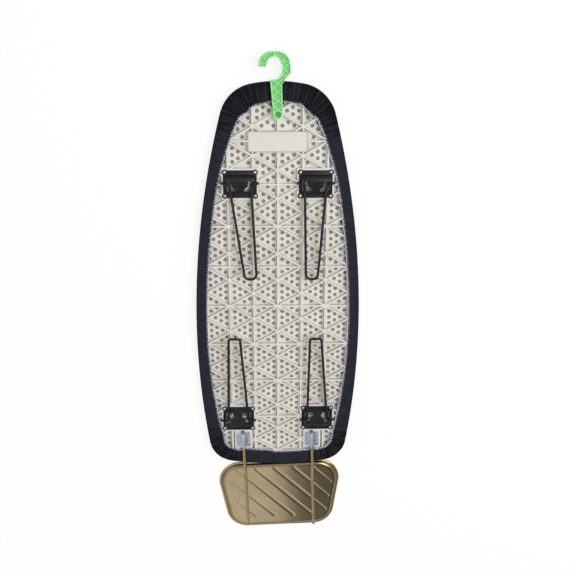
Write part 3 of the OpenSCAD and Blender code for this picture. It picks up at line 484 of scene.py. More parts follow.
@dataclass(frozen=True)
class PlatedSteel(Finish):
    """Electroplated or lacquered steel sheet and wire: metallic, with drawn streaks and a cloudy film."""

    light: str
    dark: str
    roughness: float
    gloss_spread: tuple[float, float] = (-0.05, 0.08)
    streak_mm: float = 1.2
    streak_depth_mm: float = 0.01
    streak_strength: float = 0.25
    stretch: float = 14.0
    cloud_mm: float = 7.0
    # Colour of the painted shade and dark reflection on the pan's wall and rolled edge.
    rim: str = ""

    def surface(self, tree: bpy.types.NodeTree, place: bpy.types.NodeSocket) -> dict[str, Any]:
        """Add streaks, the film's cloud, and painted shade on the rim.

        Args:
            tree: Node tree of the material.
            place: Object coordinates.

        Returns:
            Values and links for the shader's inputs.
        """
        drawn = add_node(tree, "Mapping", Vector=place, Scale=(1, 1 / self.stretch, 1))
        streaks = add_node(tree, "TexNoise", Vector=drawn, **grain(self.streak_mm))
        cloud = add_node(tree, "TexNoise", Vector=place, **grain(self.cloud_mm, 4.0))
        tones = ((0.3, self.dark), (0.72, self.light))
        colour = add_node(tree, "ValToRGB", tones=tones, Fac=cloud).outputs[0]
        if self.rim:
            # Painted shade and dark reflection on the pan's wall and rolled edge, by the rim_shade
            # attribute.
            shade = add_node(tree, "Attribute", {"attribute_name": "rim_shade"}).outputs["Fac"]
            colour = add_node(
                tree, "Mix", {"data_type": "RGBA"}, Factor=shade, i6=colour, i7=linear(self.rim)
            ).outputs[2]
        smoothest, roughest = (self.roughness + spread for spread in self.gloss_spread)
        depth = self.streak_depth_mm * MM
        return {
            "Base_Color": colour,
            "Roughness": add_node(tree, "MapRange", Value=streaks, To_Min=smoothest, To_Max=roughest),
            "Normal": add_node(tree, "Bump", Height=streaks, Distance=depth, Strength=self.streak_strength),
            "Metallic": 1.0,
        }


CREAM = MouldedPlastic("moulded_cream_polypropylene", "#E1E0DC", "#D9D7D2", 0.5, tints=(LabelField(),))
# Painted shade in the hook's recessed cells, deeper the lower the face.
HOOK_SHADE = RecessShade(((24.4, "#5FB57A"), (25.4, "#BFE0C0"), (27.4, "#EDF8ED"), (28.2, WHITE)))
GREEN = MouldedPlastic(
    "moulded_green_polypropylene", "#9FE7A1", "#92DF94", 0.4, cloud_mm=16.0, tints=(HOOK_SHADE,)
)
BLACK = PowderCoat()
COTTON = CottonCloth()
FELT = NeedleFelt()
OVERLOCK = SpunThread("overlock_thread", "#ECECFA", "#BFBED8")
ELASTIC = SpunThread("woven_elastic", "#D8D6E0", "#B9B6C4", twist_mm=1.6)
RIVET = PlatedSteel("bright_zinc", "#AEB3B9", "#8F959C", 0.34, stretch=1.0)
SLEEVE = PlatedSteel("blue_white_zinc", "#BAC3CF", "#9AA4B1", 0.36)
ROD = PlatedSteel("yellow_passivated_zinc", "#AE9B72", "#927F58", 0.3, streak_mm=3.0)
# The dark rim colour is painted shade and reflection on the pan's wall and rolled edge.
GOLD = PlatedSteel("gold_lacquered_sheet", "#B2A283", "#A69678", 0.13, cloud_mm=60.0, rim="#4F3C1C")


@dataclass(frozen=True)
class Stop:
    """One place on the board's edge, in millimetres.

    Attributes:
        centre: Centre of the arc that the place lies on.
        radius: Radius of that arc.
        angle: Direction from the centre, in radians.
        hem: Width of the cover's hem there.
        gather: How strongly the hem is gathered there, from 0 to 1.
    """

    centre: tuple[float, float]
    radius: float
    angle: float
    hem: float
    gather: float

    def point(self, grow: float) -> Vector:
        """Find a point straight out from the place.

        Args:
            grow: Distance outside the deck's edge.

        Returns:
            The point.
        """
        x, y = self.centre
        reach = self.radius + grow
        return Vector((x + reach * math.cos(self.angle), y + reach * math.sin(self.angle)))

    def mirrored(self) -> "Stop":
        """The same place on the other side of the board."""
        centre = (-self.centre[0], self.centre[1])
        return Stop(centre, self.radius, math.pi - self.angle, self.hem, self.gather)


@dataclass
class BoardEdge:
    """Outline of the deck: five tangent arcs on each side, in millimetres, as the solids have it.

    The hem's width and gathers change along it, and each taper or run is how far such a change reaches.
    """

    length: float = 797.0
    width: float = 325.0
    widest_from_heel: float = 310.0
    nose_radius: float = 262.0
    shoulder_radius: float = 73.0
    side_radius: float = 1678.0
    heel_radius: float = 618.0
    corner_radius: float = 53.0
    hem_nose: float = 35.0
    hem_shoulder: float = 44.5
    hem_flank: float = 36.0
    hem_side: float = 23.0
    hem_corner: float = 33.0
    hem_heel: float = 29.0
    front_taper: float = 165.0
    rear_taper: float = 300.0
    heel_taper: float = 26.0
    nose_gather: float = 0.6
    side_gather: float = 0.28
    heel_gather: float = 0.3
    front_gather_run: float = 110.0
    rear_gather_run: float = 80.0
    heel_gather_run: float = 45.0

    @staticmethod
    def bearing(a: Vector, b: Vector) -> float:
        """Direction from a to b, in radians."""
        return math.atan2(b.y - a.y, b.x - a.x)

    @staticmethod
    def meet(a: Vector, reach_a: float, b: Vector, reach_b: float) -> Vector:
        """Find where two circles cross, on the right of the way from a to b.

        Args:
            a: Centre of the first circle.
            reach_a: Its radius.
            b: Centre of the second circle.
            reach_b: Its radius.

        Returns:
            The crossing.
        """
        gap = (b - a).length
        along = (gap * gap + reach_a**2 - reach_b**2) / (2 * gap)
        aside = math.sqrt(reach_a**2 - along**2)
        ahead = (b - a) / gap
        return a + along * ahead + aside * Vector((ahead.y, -ahead.x))

    def half_arcs(self) -> list[Arc]:
        """Work out the arcs on the right, from nose to heel.

        Returns:
            Centre, radius, and first and last angle of each.
        """
        nose = Vector((0, self.length / 2 - self.nose_radius))
        side = Vector((self.width / 2 - self.side_radius, -self.length / 2 + self.widest_from_heel))
        heel = Vector((0, -self.length / 2 + self.heel_radius))
        shoulder = self.meet(
            nose, self.nose_radius - self.shoulder_radius, side, self.side_radius - self.shoulder_radius
        )
        corner = self.meet(
            side, self.side_radius - self.corner_radius, heel, self.heel_radius - self.corner_radius
        )
        turns = [
            math.pi / 2, self.bearing(nose, shoulder), self.bearing(side, shoulder),
            self.bearing(side, corner), self.bearing(heel, corner), -math.pi / 2,
        ]
        rounds = [
            (nose, self.nose_radius), (shoulder, self.shoulder_radius), (side, self.side_radius),
            (corner, self.corner_radius), (heel, self.heel_radius),
        ]
        return [(centre, radius, turns[k], turns[k + 1]) for k, (centre, radius) in enumerate(rounds)]

    def hem_and_gather(
        self, arc: int, share: float, place: Vector, arcs: Sequence[Arc]
    ) -> tuple[float, float]:
        """Width of the hem and strength of its gathers at a place on one arc.

        Args:
            arc: Number of the arc, from nose to heel.
            share: How far along the arc the place is, from 0 to 1.
            place: The place itself.
            arcs: All arcs of that side.

        Returns:
            The hem's width in millimetres and the strength from 0 to 1.
        """
        nose_end = (self.hem_nose + self.hem_shoulder) / 2
        if arc == Stretch.NOSE:
            hem = self.hem_nose + (nose_end - self.hem_nose) * share
            return hem, self.nose_gather + (1 - self.nose_gather) * share
        if arc == Stretch.SHOULDER:
            swell = self.hem_shoulder - (nose_end + self.hem_flank) / 2
            return nose_end + (self.hem_flank - nose_end) * share + swell * math.sin(math.pi * share), 1.0
        if arc == Stretch.CORNER:
            return self.hem_corner, 1.0
        if arc == Stretch.HEEL:
            inward = self.heel_radius * math.cos(arcs[arc][2]) - place.x
            hem = self.hem_heel + (self.hem_corner - self.hem_heel) * fade(inward, self.heel_taper)
            return hem, self.heel_gather + (1 - self.heel_gather) * fade(inward, self.heel_gather_run)
        top, low = (arcs[arc][0].y + self.side_radius * math.sin(turn) for turn in arcs[arc][2:])
        below, above = top - place.y, place.y - low
        front = (self.hem_flank - self.hem_side) * fade(below, self.front_taper)
        rear = (self.hem_corner - self.hem_side) * fade(above, self.rear_taper)
        drawn = fade(below, self.front_gather_run) + fade(above, self.rear_gather_run)
        return self.hem_side + front + rear, min(1.0, self.side_gather + (1 - self.side_gather) * drawn)

    def stops(self, pitches: Sequence[float]) -> list[Stop]:
        """Places all round the edge, clockwise from the middle of the nose.

        Args:
            pitches: Distance between places on each of the five arcs, in millimetres.

        Returns:
            The places in order.
        """
        arcs = self.half_arcs()
        half: list[Stop] = []
        for k, (centre, radius, first, last) in enumerate(arcs):
            count = max(2, round(radius * abs(last - first) / pitches[k]))
            for i in range(count + (k == Stretch.HEEL)):
                angle = first + (last - first) * i / count
                place = centre + radius * Vector((math.cos(angle), math.sin(angle)))
                hem, gather = self.hem_and_gather(k, i / count, place, arcs)
                half.append(Stop(tuple(centre), radius, angle, hem, gather))
        return half + [s.mirrored() for s in reversed(half[1:-1])]


def loop_from(bm: bmesh.types.BMesh, points: Sequence[Vector]) -> list[bmesh.types.BMEdge]:
    """Draw a closed loop of edges.

    Args:
        bm: Mesh that gets the loop.
        points: Its corners, in metres.

    Returns:
        The new edges in order.
    """
    verts = [bm.verts.new(p) for p in points]
    return [bm.edges.new((verts[i], verts[(i + 1) % len(verts)])) for i in range(len(verts))]


def next_ring(
    bm: bmesh.types.BMesh, edges: Sequence[bmesh.types.BMEdge], points: Sequence[Vector]
) -> list[bmesh.types.BMEdge]:
    """Extrude a loop to its next ring.

    Args:
        bm: Mesh that holds the loop.
        edges: The loop's edges in order.
        points: Places of the new ring, one for each first vertex of an edge.

    Returns:
        The new loop's edges in order.
    """
    old = [e.verts[0] if e.verts[0] in edges[i - 1].verts else e.verts[1] for i, e in enumerate(edges)]
    made = bmesh.ops.extrude_edge_only(bm, edges=list(edges))["geom"]
    fresh = {v for v in made if isinstance(v, bmesh.types.BMVert)}
    ring = [next(e.other_vert(v) for e in v.link_edges if e.other_vert(v) in fresh) for v in old]
    for vert, point in zip(ring, points):
        vert.co = point
    ahead = ring[1:] + ring[:1]
    return [next(e for e in v.link_edges if e.other_vert(v) is w) for v, w in zip(ring, ahead)]


def finish_piece(
    name: str, bm: bmesh.types.BMesh, finish: Finish, body: Body,
    recalc: bool = True,
) -> bpy.types.Object:
    """Turn a bmesh into a finished piece that rides on a body.

    Args:
        name: Name of the piece.
        bm: The modelled mesh, which is freed.
        finish: Its finish.
        body: Body that the piece rides on.
        recalc: Whether the normals are turned outwards.

    Returns:
        The new object.
    """
    if recalc:
        bmesh.ops.recalc_face_normals(bm, faces=bm.faces)
    for face in bm.faces:
        face.smooth = True
    mesh = bpy.data.meshes.new(name)
    bm.to_mesh(mesh)
    bm.free()
    piece = bpy.data.objects.new(name, mesh)
    bpy.context.scene.collection.objects.link(piece)
    mesh.materials.append(finish.material())
    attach(piece, body.value)
    LOG.info("%s: %d faces", name, len(mesh.polygons))
    return piece


@dataclass
class Fold:
    """One gathered fold of the hem.

    Attributes:
        place: Its middle, counted in folds along the edge.
        half: Its half width, counted in folds.
        start: Share of the hem's width where it begins.
        rise: Its height, from 0 to 1.
        lean: Which way and how far its crest leans, from -1 to 1.
    """

    place: float
    half: float
    start: float
    rise: float
    lean: float
    sharpness: ClassVar[float] = 1.5
    run: ClassVar[float] = 0.5

    def height(self, along: float, share: float) -> float:
        """Height of the fold at one place.

        Args:
            along: The place, counted in folds along the edge.
            share: Share of the hem's width, from the outline inwards.

        Returns:
            The height, from 0 to 1.
        """
        off = abs(along - self.place) / self.half
        if off >= 1:
            return 0.0
        crest = self.rise * math.cos(off * math.pi / 2) ** self.sharpness
        return crest * smooth(self.start, self.start + self.run, share)


@dataclass(frozen=True)
class ClothRing:
    """One ring of the cover's cloth, in millimetres.

    Attributes:
        inset: Distance in from the cover's outline, or past the ring's own place on the hem.
        z: Height over the ironing face, or over the hem.
        share: Share of the hem's width, from 0 at the outline to 1 at the free edge.
        fold_inset: How much further in a full fold draws the ring.
        fold_z: How much higher a full fold lifts it.
        on_hem: Whether the ring lies on the hem.
    """

    inset: float
    z: float
    share: float
    fold_inset: float = 0.0
    fold_z: float = 0.0
    on_hem: bool = False


@dataclass
class Cover:
    """Cotton cover: taut over the ironing face, round the edge, and gathered by elastic into a hem.

    Sizes are in millimetres, and each range is what a fold's own value is drawn from.
    """

    edge: BoardEdge = field(default_factory=BoardEdge)
    grow: float = 1.2
    hem_top: float = 18.3
    valley: float = 17.75
    crest: float = 20.0
    rounding: float = 2.0
    pitches: tuple[float, ...] = (1.1, 0.62, 1.9, 0.62, 1.2)
    face_insets: tuple[float, ...] = (9.0, 4.0)
    wall_heights: tuple[float, ...] = (6.0, 10.5, 14.0)
    wall_share: float = 0.02
    wall_draw: float = 0.25
    turn_steps: int = 4
    turn_share: float = 0.06
    turn_draw: float = 0.35
    turn_dip: float = 0.2
    hem_rings: int = 17
    cloth_t: float = 0.8
    lip_rings: tuple[tuple[float, float], ...] = ((0.25, 0.4), (-0.2, 0.75), (-3.0, 0.8))
    fold_width: float = 9.0
    loose_width: float = 16.0
    place_range: tuple[float, float] = (-0.25, 0.25)
    half_range: tuple[float, float] = (0.5, 0.72)
    start_range: tuple[float, float] = (-0.5, 0.15)
    rise_range: tuple[float, float] = (0.55, 1.0)
    lean_range: tuple[float, float] = (-1, 1)
    lean_reach: float = 0.8
    # Painted shade of the hem: paler on fold tops and where the hem is little gathered.
    painted_crest_light: float = 0.75
    painted_flat_light: float = 0.9
    sink_share: float = 0.4
    swell: float = 0.22
    swell_length: float = 38.0
    swell_share: float = 0.5
    stray_taut: float = 0.5
    stray_gathered: float = 1.9
    stray_length: float = 34.0
    stray_layer: float = 3.0
    pucker: float = 0.6
    pucker_mean: float = 0.4
    edge_back: float = 0.9
    heel_y: float = -380.0
    slack_even: float = 2.4
    slack_even_x: tuple[float, float] = (95.0, 70.0)
    slack_left: float = 3.6
    slack_left_from: tuple[float, float] = (-88.0, -66.0)
    slack_left_to: tuple[float, float] = (-4.0, -22.0)
    cut_share: float = 0.84

    def folds_along(self, stops: Sequence[Stop]) -> tuple[list[float], list[Fold]]:
        """Spread folds of uneven width along the edge.

        Args:
            stops: Places round the edge.

        Returns:
            Each place's count along the folds, and the folds.
        """
        dice = random.Random(SEED)
        counts, run = [], 0.0
        for i, stop in enumerate(stops):
            counts.append(run)
            step = (stops[(i + 1) % len(stops)].point(0) - stop.point(0)).length
            run += step / (self.loose_width + (self.fold_width - self.loose_width) * stop.gather)
        total = max(1, round(run))
        counts = [c * total / run for c in counts]
        folds = [
            Fold(
                place=k + dice.uniform(*self.place_range),
                half=dice.uniform(*self.half_range),
                start=dice.uniform(*self.start_range),
                rise=dice.uniform(*self.rise_range),
                lean=dice.uniform(*self.lean_range),
            )
            for k in range(total)
        ]
        return counts, folds

    def fold_at(self, folds: Sequence[Fold], along: float, share: float) -> tuple[float, float]:
        """Find the highest fold at one place.

        Args:
            folds: The folds.
            along: The place, counted in folds along the edge.
            share: Share of the hem's width.

        Returns:
            The fold's height and its sideways lean, each within 1.
        """
        middle = round(along)
        best, lean = 0.0, 0.0
        for k in (middle - 1, middle, middle + 1):
            fold = folds[k % len(folds)]
            height = fold.height(along - k + k % len(folds), share)
            if height > best:
                best, lean = height, fold.lean
        return best, lean

    def hem_height(self, stop: Stop, share: float, rise: float) -> float:
        """Height of the hem over the ironing face.

        Args:
            stop: Place on the board's edge.
            share: Share of the hem's width.
            rise: Height of the fold there, from 0 to 1.

        Returns:
            The height in millimetres.
        """
        sunk = (self.valley - self.hem_top) * stop.gather * smooth(0.0, self.sink_share, share)
        p = stop.point(0) / self.swell_length
        swell = self.swell * noise.noise(Vector((p.x, p.y, share))) * smooth(0, self.swell_share, share)
        return min(self.crest, self.hem_top + sunk + rise * (self.crest - self.valley) + swell)

    def edge_wave(self, stop: Stop, rise: float) -> float:
        """How far the free edge strays from its even width.

        Args:
            stop: Place on the board's edge.
            rise: Height of the fold there, from 0 to 1.

        Returns:
            The distance in millimetres, inwards.
        """
        p = stop.point(0)
        spot = Vector((p.x / self.stray_length, p.y / self.stray_length, self.stray_layer))
        wave = (self.stray_taut + self.stray_gathered * stop.gather**2) * noise.noise(spot)
        if p.y < self.heel_y:
            wave += self.slack_even * smooth(*self.slack_even_x, abs(p.x))
            wave += self.slack_left * smooth(*self.slack_left_from, p.x) * smooth(*self.slack_left_to, p.x)
        return wave + self.pucker * (rise - self.pucker_mean) * stop.gather - self.edge_back

    def rings(self) -> list[ClothRing]:
        """List the rings of the cloth.

        Returns:
            The rings, from the ironing face round the edge to the lip under the hem.
        """
        r, top = self.rounding, self.hem_top
        quarter = [math.radians(90 * k / self.turn_steps) for k in range(self.turn_steps + 1)]
        rings = [ClothRing(inset, 0.0, 0.0) for inset in self.face_insets]
        rings += [ClothRing(r - r * math.sin(t), r - r * math.cos(t), 0.0) for t in quarter]
        rings += [
            ClothRing(0.0, z, self.wall_share * z / top, fold_inset=self.wall_draw * z / top)
            for z in self.wall_heights
        ]
        rings += [
            ClothRing(
                r - r * math.cos(t), top - r + r * math.sin(t), self.turn_share,
                fold_inset=self.turn_draw * math.cos(t), fold_z=-self.turn_dip,
            )
            for t in quarter
        ]
        shares = [k / self.hem_rings for k in range(1, self.hem_rings + 1)]
        rings += [ClothRing(0.0, 0.0, share, on_hem=True) for share in shares]
        rings += [ClothRing(out, -drop * self.cloth_t, 1.0, on_hem=True) for out, drop in self.lip_rings]
        return rings

    def ring_place(self, ring: ClothRing, stop: Stop, rise: float) -> tuple[float, float]:
        """Find where a ring passes a place on the edge.

        Args:
            ring: The ring.
            stop: The place.
            rise: Height of the fold there, from 0 to 1.

        Returns:
            Distance in from the cover's outline and height over the ironing face, in millimetres.
        """
        if not ring.on_hem:
            return ring.inset + ring.fold_inset * rise, ring.z + ring.fold_z * rise
        width = stop.hem + self.edge_wave(stop, rise) * ring.share**2 - self.rounding
        inset = self.rounding + width * ring.share + ring.inset
        return inset, self.hem_height(stop, ring.share, rise) + ring.z

    def ring_points(
        self, ring: ClothRing, stops: Sequence[Stop], counts: Sequence[float], folds: Sequence[Fold],
        heights: list[float],
    ) -> list[Vector]:
        """Points of one ring of the cloth.

        Args:
            ring: The ring.
            stops: Places round the edge.
            counts: Their count along the folds.
            folds: The folds.
            heights: Gets each point's painted shade tone, from its fold height and how flat the hem lies,
                for the finish.

        Returns:
            The points in metres.
        """
        points = []
        for stop, along in zip(stops, counts):
            rise, lean = self.fold_at(folds, along, ring.share)
            rise *= stop.gather
            inset, z = self.ring_place(ring, stop, rise)
            side = Vector((-math.sin(stop.angle), math.cos(stop.angle)))
            flat = stop.point(self.grow - inset) + side * lean * rise * self.lean_reach * ring.share
            points.append(Vector((flat.x, flat.y, z)) * MM)
            # Painted shade: fold tops paler than valleys, ungathered cloth paler than gathered.
            heights.append(self.painted_crest_light * rise + self.painted_flat_light * (1 - stop.gather))
        return points

    def build(self) -> tuple[bpy.types.Object, list[EdgePlace]]:
        """Model the cover.

        Returns:
            The cover, and each place on its free edge with the way out from it.
        """
        stops = self.edge.stops(self.pitches)
        counts, folds = self.folds_along(stops)
        bm = bmesh.new()
        heights: list[float] = []
        rings = self.rings()
        last_on_hem = len(rings) - 1 - len(self.lip_rings)
        edges = loop_from(bm, self.ring_points(rings[0], stops, counts, folds, heights))
        bmesh.ops.contextual_create(bm, geom=edges)
        free_edge: list[EdgePlace] = []
        for k, ring in enumerate(rings[1:], 1):
            points = self.ring_points(ring, stops, counts, folds, heights)
            edges = next_ring(bm, edges, points)
            if k == last_on_hem:
                free_edge = [
                    (p, Vector((math.cos(s.angle), math.sin(s.angle), 0))) for p, s in zip(points, stops)
                ]
        layer = bm.verts.layers.float.new("fold_height")
        for vert, height in zip(bm.verts, heights):
            vert[layer] = height
        piece = finish_piece("cover_cloth", bm, COTTON, Body.BOARD)
        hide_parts("cover")
        return piece, free_edge


@dataclass
class Overlock:
    """Overlocked edge of the hem, in millimetres: short slanting stitches that wrap the free edge."""

    pitch: float = 3.2
    thread_r: float = 0.38
    reach: float = 3.0
    over: float = 0.3
    under: float = 1.0
    tilt_range: tuple[float, float] = (-0.1, 0.1)
    length_range: tuple[float, float] = (0.8, 1.12)
    cord_r: float = 0.3
    cord_swell: float = 0.3
    cord_swell_x: tuple[float, float] = (-20.0, 60.0)
    cord_seat: float = 0.6
    sides: int = 5

    def stitch_path(self) -> list[Vector]:
        """Lay out the middle of one stitch: X out over the cloth, Y along the edge, Z up.

        Returns:
            Its points in millimetres.
        """
        return [
            Vector((self.reach, 0.55, 0.1)),  # needle hole
            Vector((self.reach * 0.55, 0.25, self.over)),  # over the cloth
            Vector((0.1, 0.0, self.over)),  # top of the edge
            Vector((-self.thread_r - 0.15, -0.15, -0.3)),  # round the edge
            Vector((0.5, -0.3, -self.under)),  # back under the cloth
        ]

    def unit(self) -> bpy.types.Mesh:
        """Sweep a small circle along one stitch.

        Returns:
            The stitch as a mesh, in metres.
        """
        bm = bmesh.new()
        path = self.stitch_path()
        bmesh.ops.create_circle(bm, cap_ends=False, segments=self.sides, radius=self.thread_r)
        verts, edges = bm.verts[:], bm.edges[:]
        heading, before = Vector((0, 0, 1)), Vector((0, 0, 0))
        for k, point in enumerate(path):
            ahead = (path[min(k + 1, len(path) - 1)] - path[max(k - 1, 0)]).normalized()
            if k:
                made = bmesh.ops.extrude_edge_only(bm, edges=edges)["geom"]
                verts = [g for g in made if isinstance(g, bmesh.types.BMVert)]
                rims = [g for g in made if isinstance(g, bmesh.types.BMEdge)]
                edges = [e for e in rims if all(v in verts for v in e.verts)]
            turn = heading.rotation_difference(ahead).to_matrix()
            bmesh.ops.translate(bm, verts=verts, vec=-before)
            bmesh.ops.rotate(bm, verts=verts, cent=(0, 0, 0), matrix=turn)
            bmesh.ops.translate(bm, verts=verts, vec=point)
            heading, before = ahead, point
        bmesh.ops.holes_fill(bm, edges=[e for e in bm.edges if e.is_boundary], sides=self.sides)
        bmesh.ops.scale(bm, verts=bm.verts, vec=(MM, MM, MM))
        bmesh.ops.recalc_face_normals(bm, faces=bm.faces)
        mesh = bpy.data.meshes.new("one_stitch")
        bm.to_mesh(mesh)
        bm.free()
        return mesh

    def cord_ring(self, free_edge: Sequence[EdgePlace], turn: float) -> list[Vector]:
        """Run once round the edge on the cord's surface.

        Args:
            free_edge: Places on the cloth's free edge, with the way out from each.
            turn: Angle round the cord, in radians.

        Returns:
            The points in metres.
        """
        points = []
        for place, out in free_edge:
            radius = (self.cord_r + self.cord_swell * smooth(*self.cord_swell_x, place.x / MM)) * MM
            middle = place - out * radius * self.cord_seat
            points.append(middle + radius * (out * math.cos(turn) + Vector((0, 0, 1)) * math.sin(turn)))
        return points

    def edge_cord(self, bm: bmesh.types.BMesh, free_edge: Sequence[EdgePlace]) -> None:
        """Lay the locked loops of thread along the very edge, fuller on the side where it turns up.

        Args:
            bm: Mesh that gets the cord.
            free_edge: Places on the cloth's free edge, with the way out from each.
        """
        edges = first = loop_from(bm, self.cord_ring(free_edge, 0.0))
        for k in range(1, self.sides):
            edges = next_ring(bm, edges, self.cord_ring(free_edge, 2 * math.pi * k / self.sides))
        bmesh.ops.bridge_loops(bm, edges=[*first, *edges])

    def build(self, free_edge: Sequence[EdgePlace]) -> bpy.types.Object:
        """Sew stitches along the free edge.

        Args:
            free_edge: Places on the cloth's free edge, with the way out from each.

        Returns:
            All stitches as one piece.
        """
        dice = random.Random(SEED + 1)
        unit = self.unit()
        bm = bmesh.new()
        left = 0.0
        for i, (here, out) in enumerate(free_edge):
            there = free_edge[(i + 1) % len(free_edge)][0]
            left -= (there - here).length
            if left > 0:
                continue
            left += self.pitch * MM
            slope = (there - free_edge[i - 1][0]).normalized()
            up = out.cross(slope - out * slope.dot(out)).normalized()
            up = up if up.z > 0 else -up
            tilt = Matrix.Rotation(dice.uniform(*self.tilt_range), 4, "Z")
            basis = Matrix((out, up.cross(out), up)).transposed().to_4x4()
            length = Matrix.Diagonal((dice.uniform(*self.length_range), 1, 1, 1))
            start = len(bm.verts)
            bm.from_mesh(unit)
            bm.verts.ensure_lookup_table()
            seat = Matrix.Translation(here) @ basis @ tilt @ length
            bmesh.ops.transform(bm, matrix=seat, verts=bm.verts[start:])
        self.edge_cord(bm, free_edge)
        return finish_piece("hem_overlock", bm, OVERLOCK, Body.BOARD, recalc=False)


@dataclass
class Pad:
    """Needle-felt pad that lies between the cover and the deck and shows through the vent holes."""

    edge: BoardEdge = field(default_factory=BoardEdge)
    pitches: tuple[float, ...] = (12, 8, 22, 8, 12)
    low: float = 0.95
    high: float = 4.7
    inset: float = 0.6
    soften: float = 1.2
    rim_angle: float = 1.0

    def build(self) -> bpy.types.Object:
        """Model the pad with a soft, crowned edge.

        Returns:
            The pad.
        """
        bm = bmesh.new()
        points = [s.point(-self.inset) for s in self.edge.stops(self.pitches)]
        edges = loop_from(bm, [Vector((p.x, p.y, self.low)) * MM for p in points])
        face = bmesh.ops.contextual_create(bm, geom=edges)["faces"]
        made = bmesh.ops.extrude_face_region(bm, geom=face)["geom"]
        lifted = [g for g in made if isinstance(g, bmesh.types.BMVert)]
        bmesh.ops.translate(bm, verts=lifted, vec=(0, 0, (self.high - self.low) * MM))
        bmesh.ops.recalc_face_normals(bm, faces=bm.faces)
        rims = [e for e in bm.edges if e.calc_face_angle(0.0) > self.rim_angle]
        bmesh.ops.bevel(
            bm, geom=rims, offset=self.soften * MM, affect="EDGES", segments=3, profile=0.5, material=-1
        )
        piece = finish_piece("felt_pad", bm, FELT, Body.BOARD)
        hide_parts("pad")
        return piece


@dataclass
class HemElastic:
    """Woven elastic that runs in the hem and draws it in."""

    edge: BoardEdge = field(default_factory=BoardEdge)
    pitches: tuple[float, ...] = (6, 4, 12, 4, 6)
    grow: float = 1.2
    inset: float = 2.5
    width: float = 5.0
    low: float = 16.85
    thickness: float = 0.6

    def place(self, stop: Stop, out: float) -> Vector:
        """Point on the band, at a distance out from the hem's free edge."""
        flat = stop.point(self.grow - stop.hem + out)
        return Vector((flat.x, flat.y, self.low)) * MM

    def build(self) -> bpy.types.Object:
        """Model the band flat on the deck, under the hem.

        Returns:
            The band.
        """
        bm = bmesh.new()
        stops = self.edge.stops(self.pitches)
        edges = loop_from(bm, [self.place(s, self.inset) for s in stops])
        next_ring(bm, edges, [self.place(s, self.inset + self.width) for s in stops])
        # Known fault: the faces have no normals yet, so this doubles them in place and the band stays flat.
        bmesh.ops.solidify(bm, geom=bm.faces[:], thickness=self.thickness * MM)
        piece = finish_piece("hem_band", bm, ELASTIC, Body.BOARD)
        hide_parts("hem_elastic")
        return piece


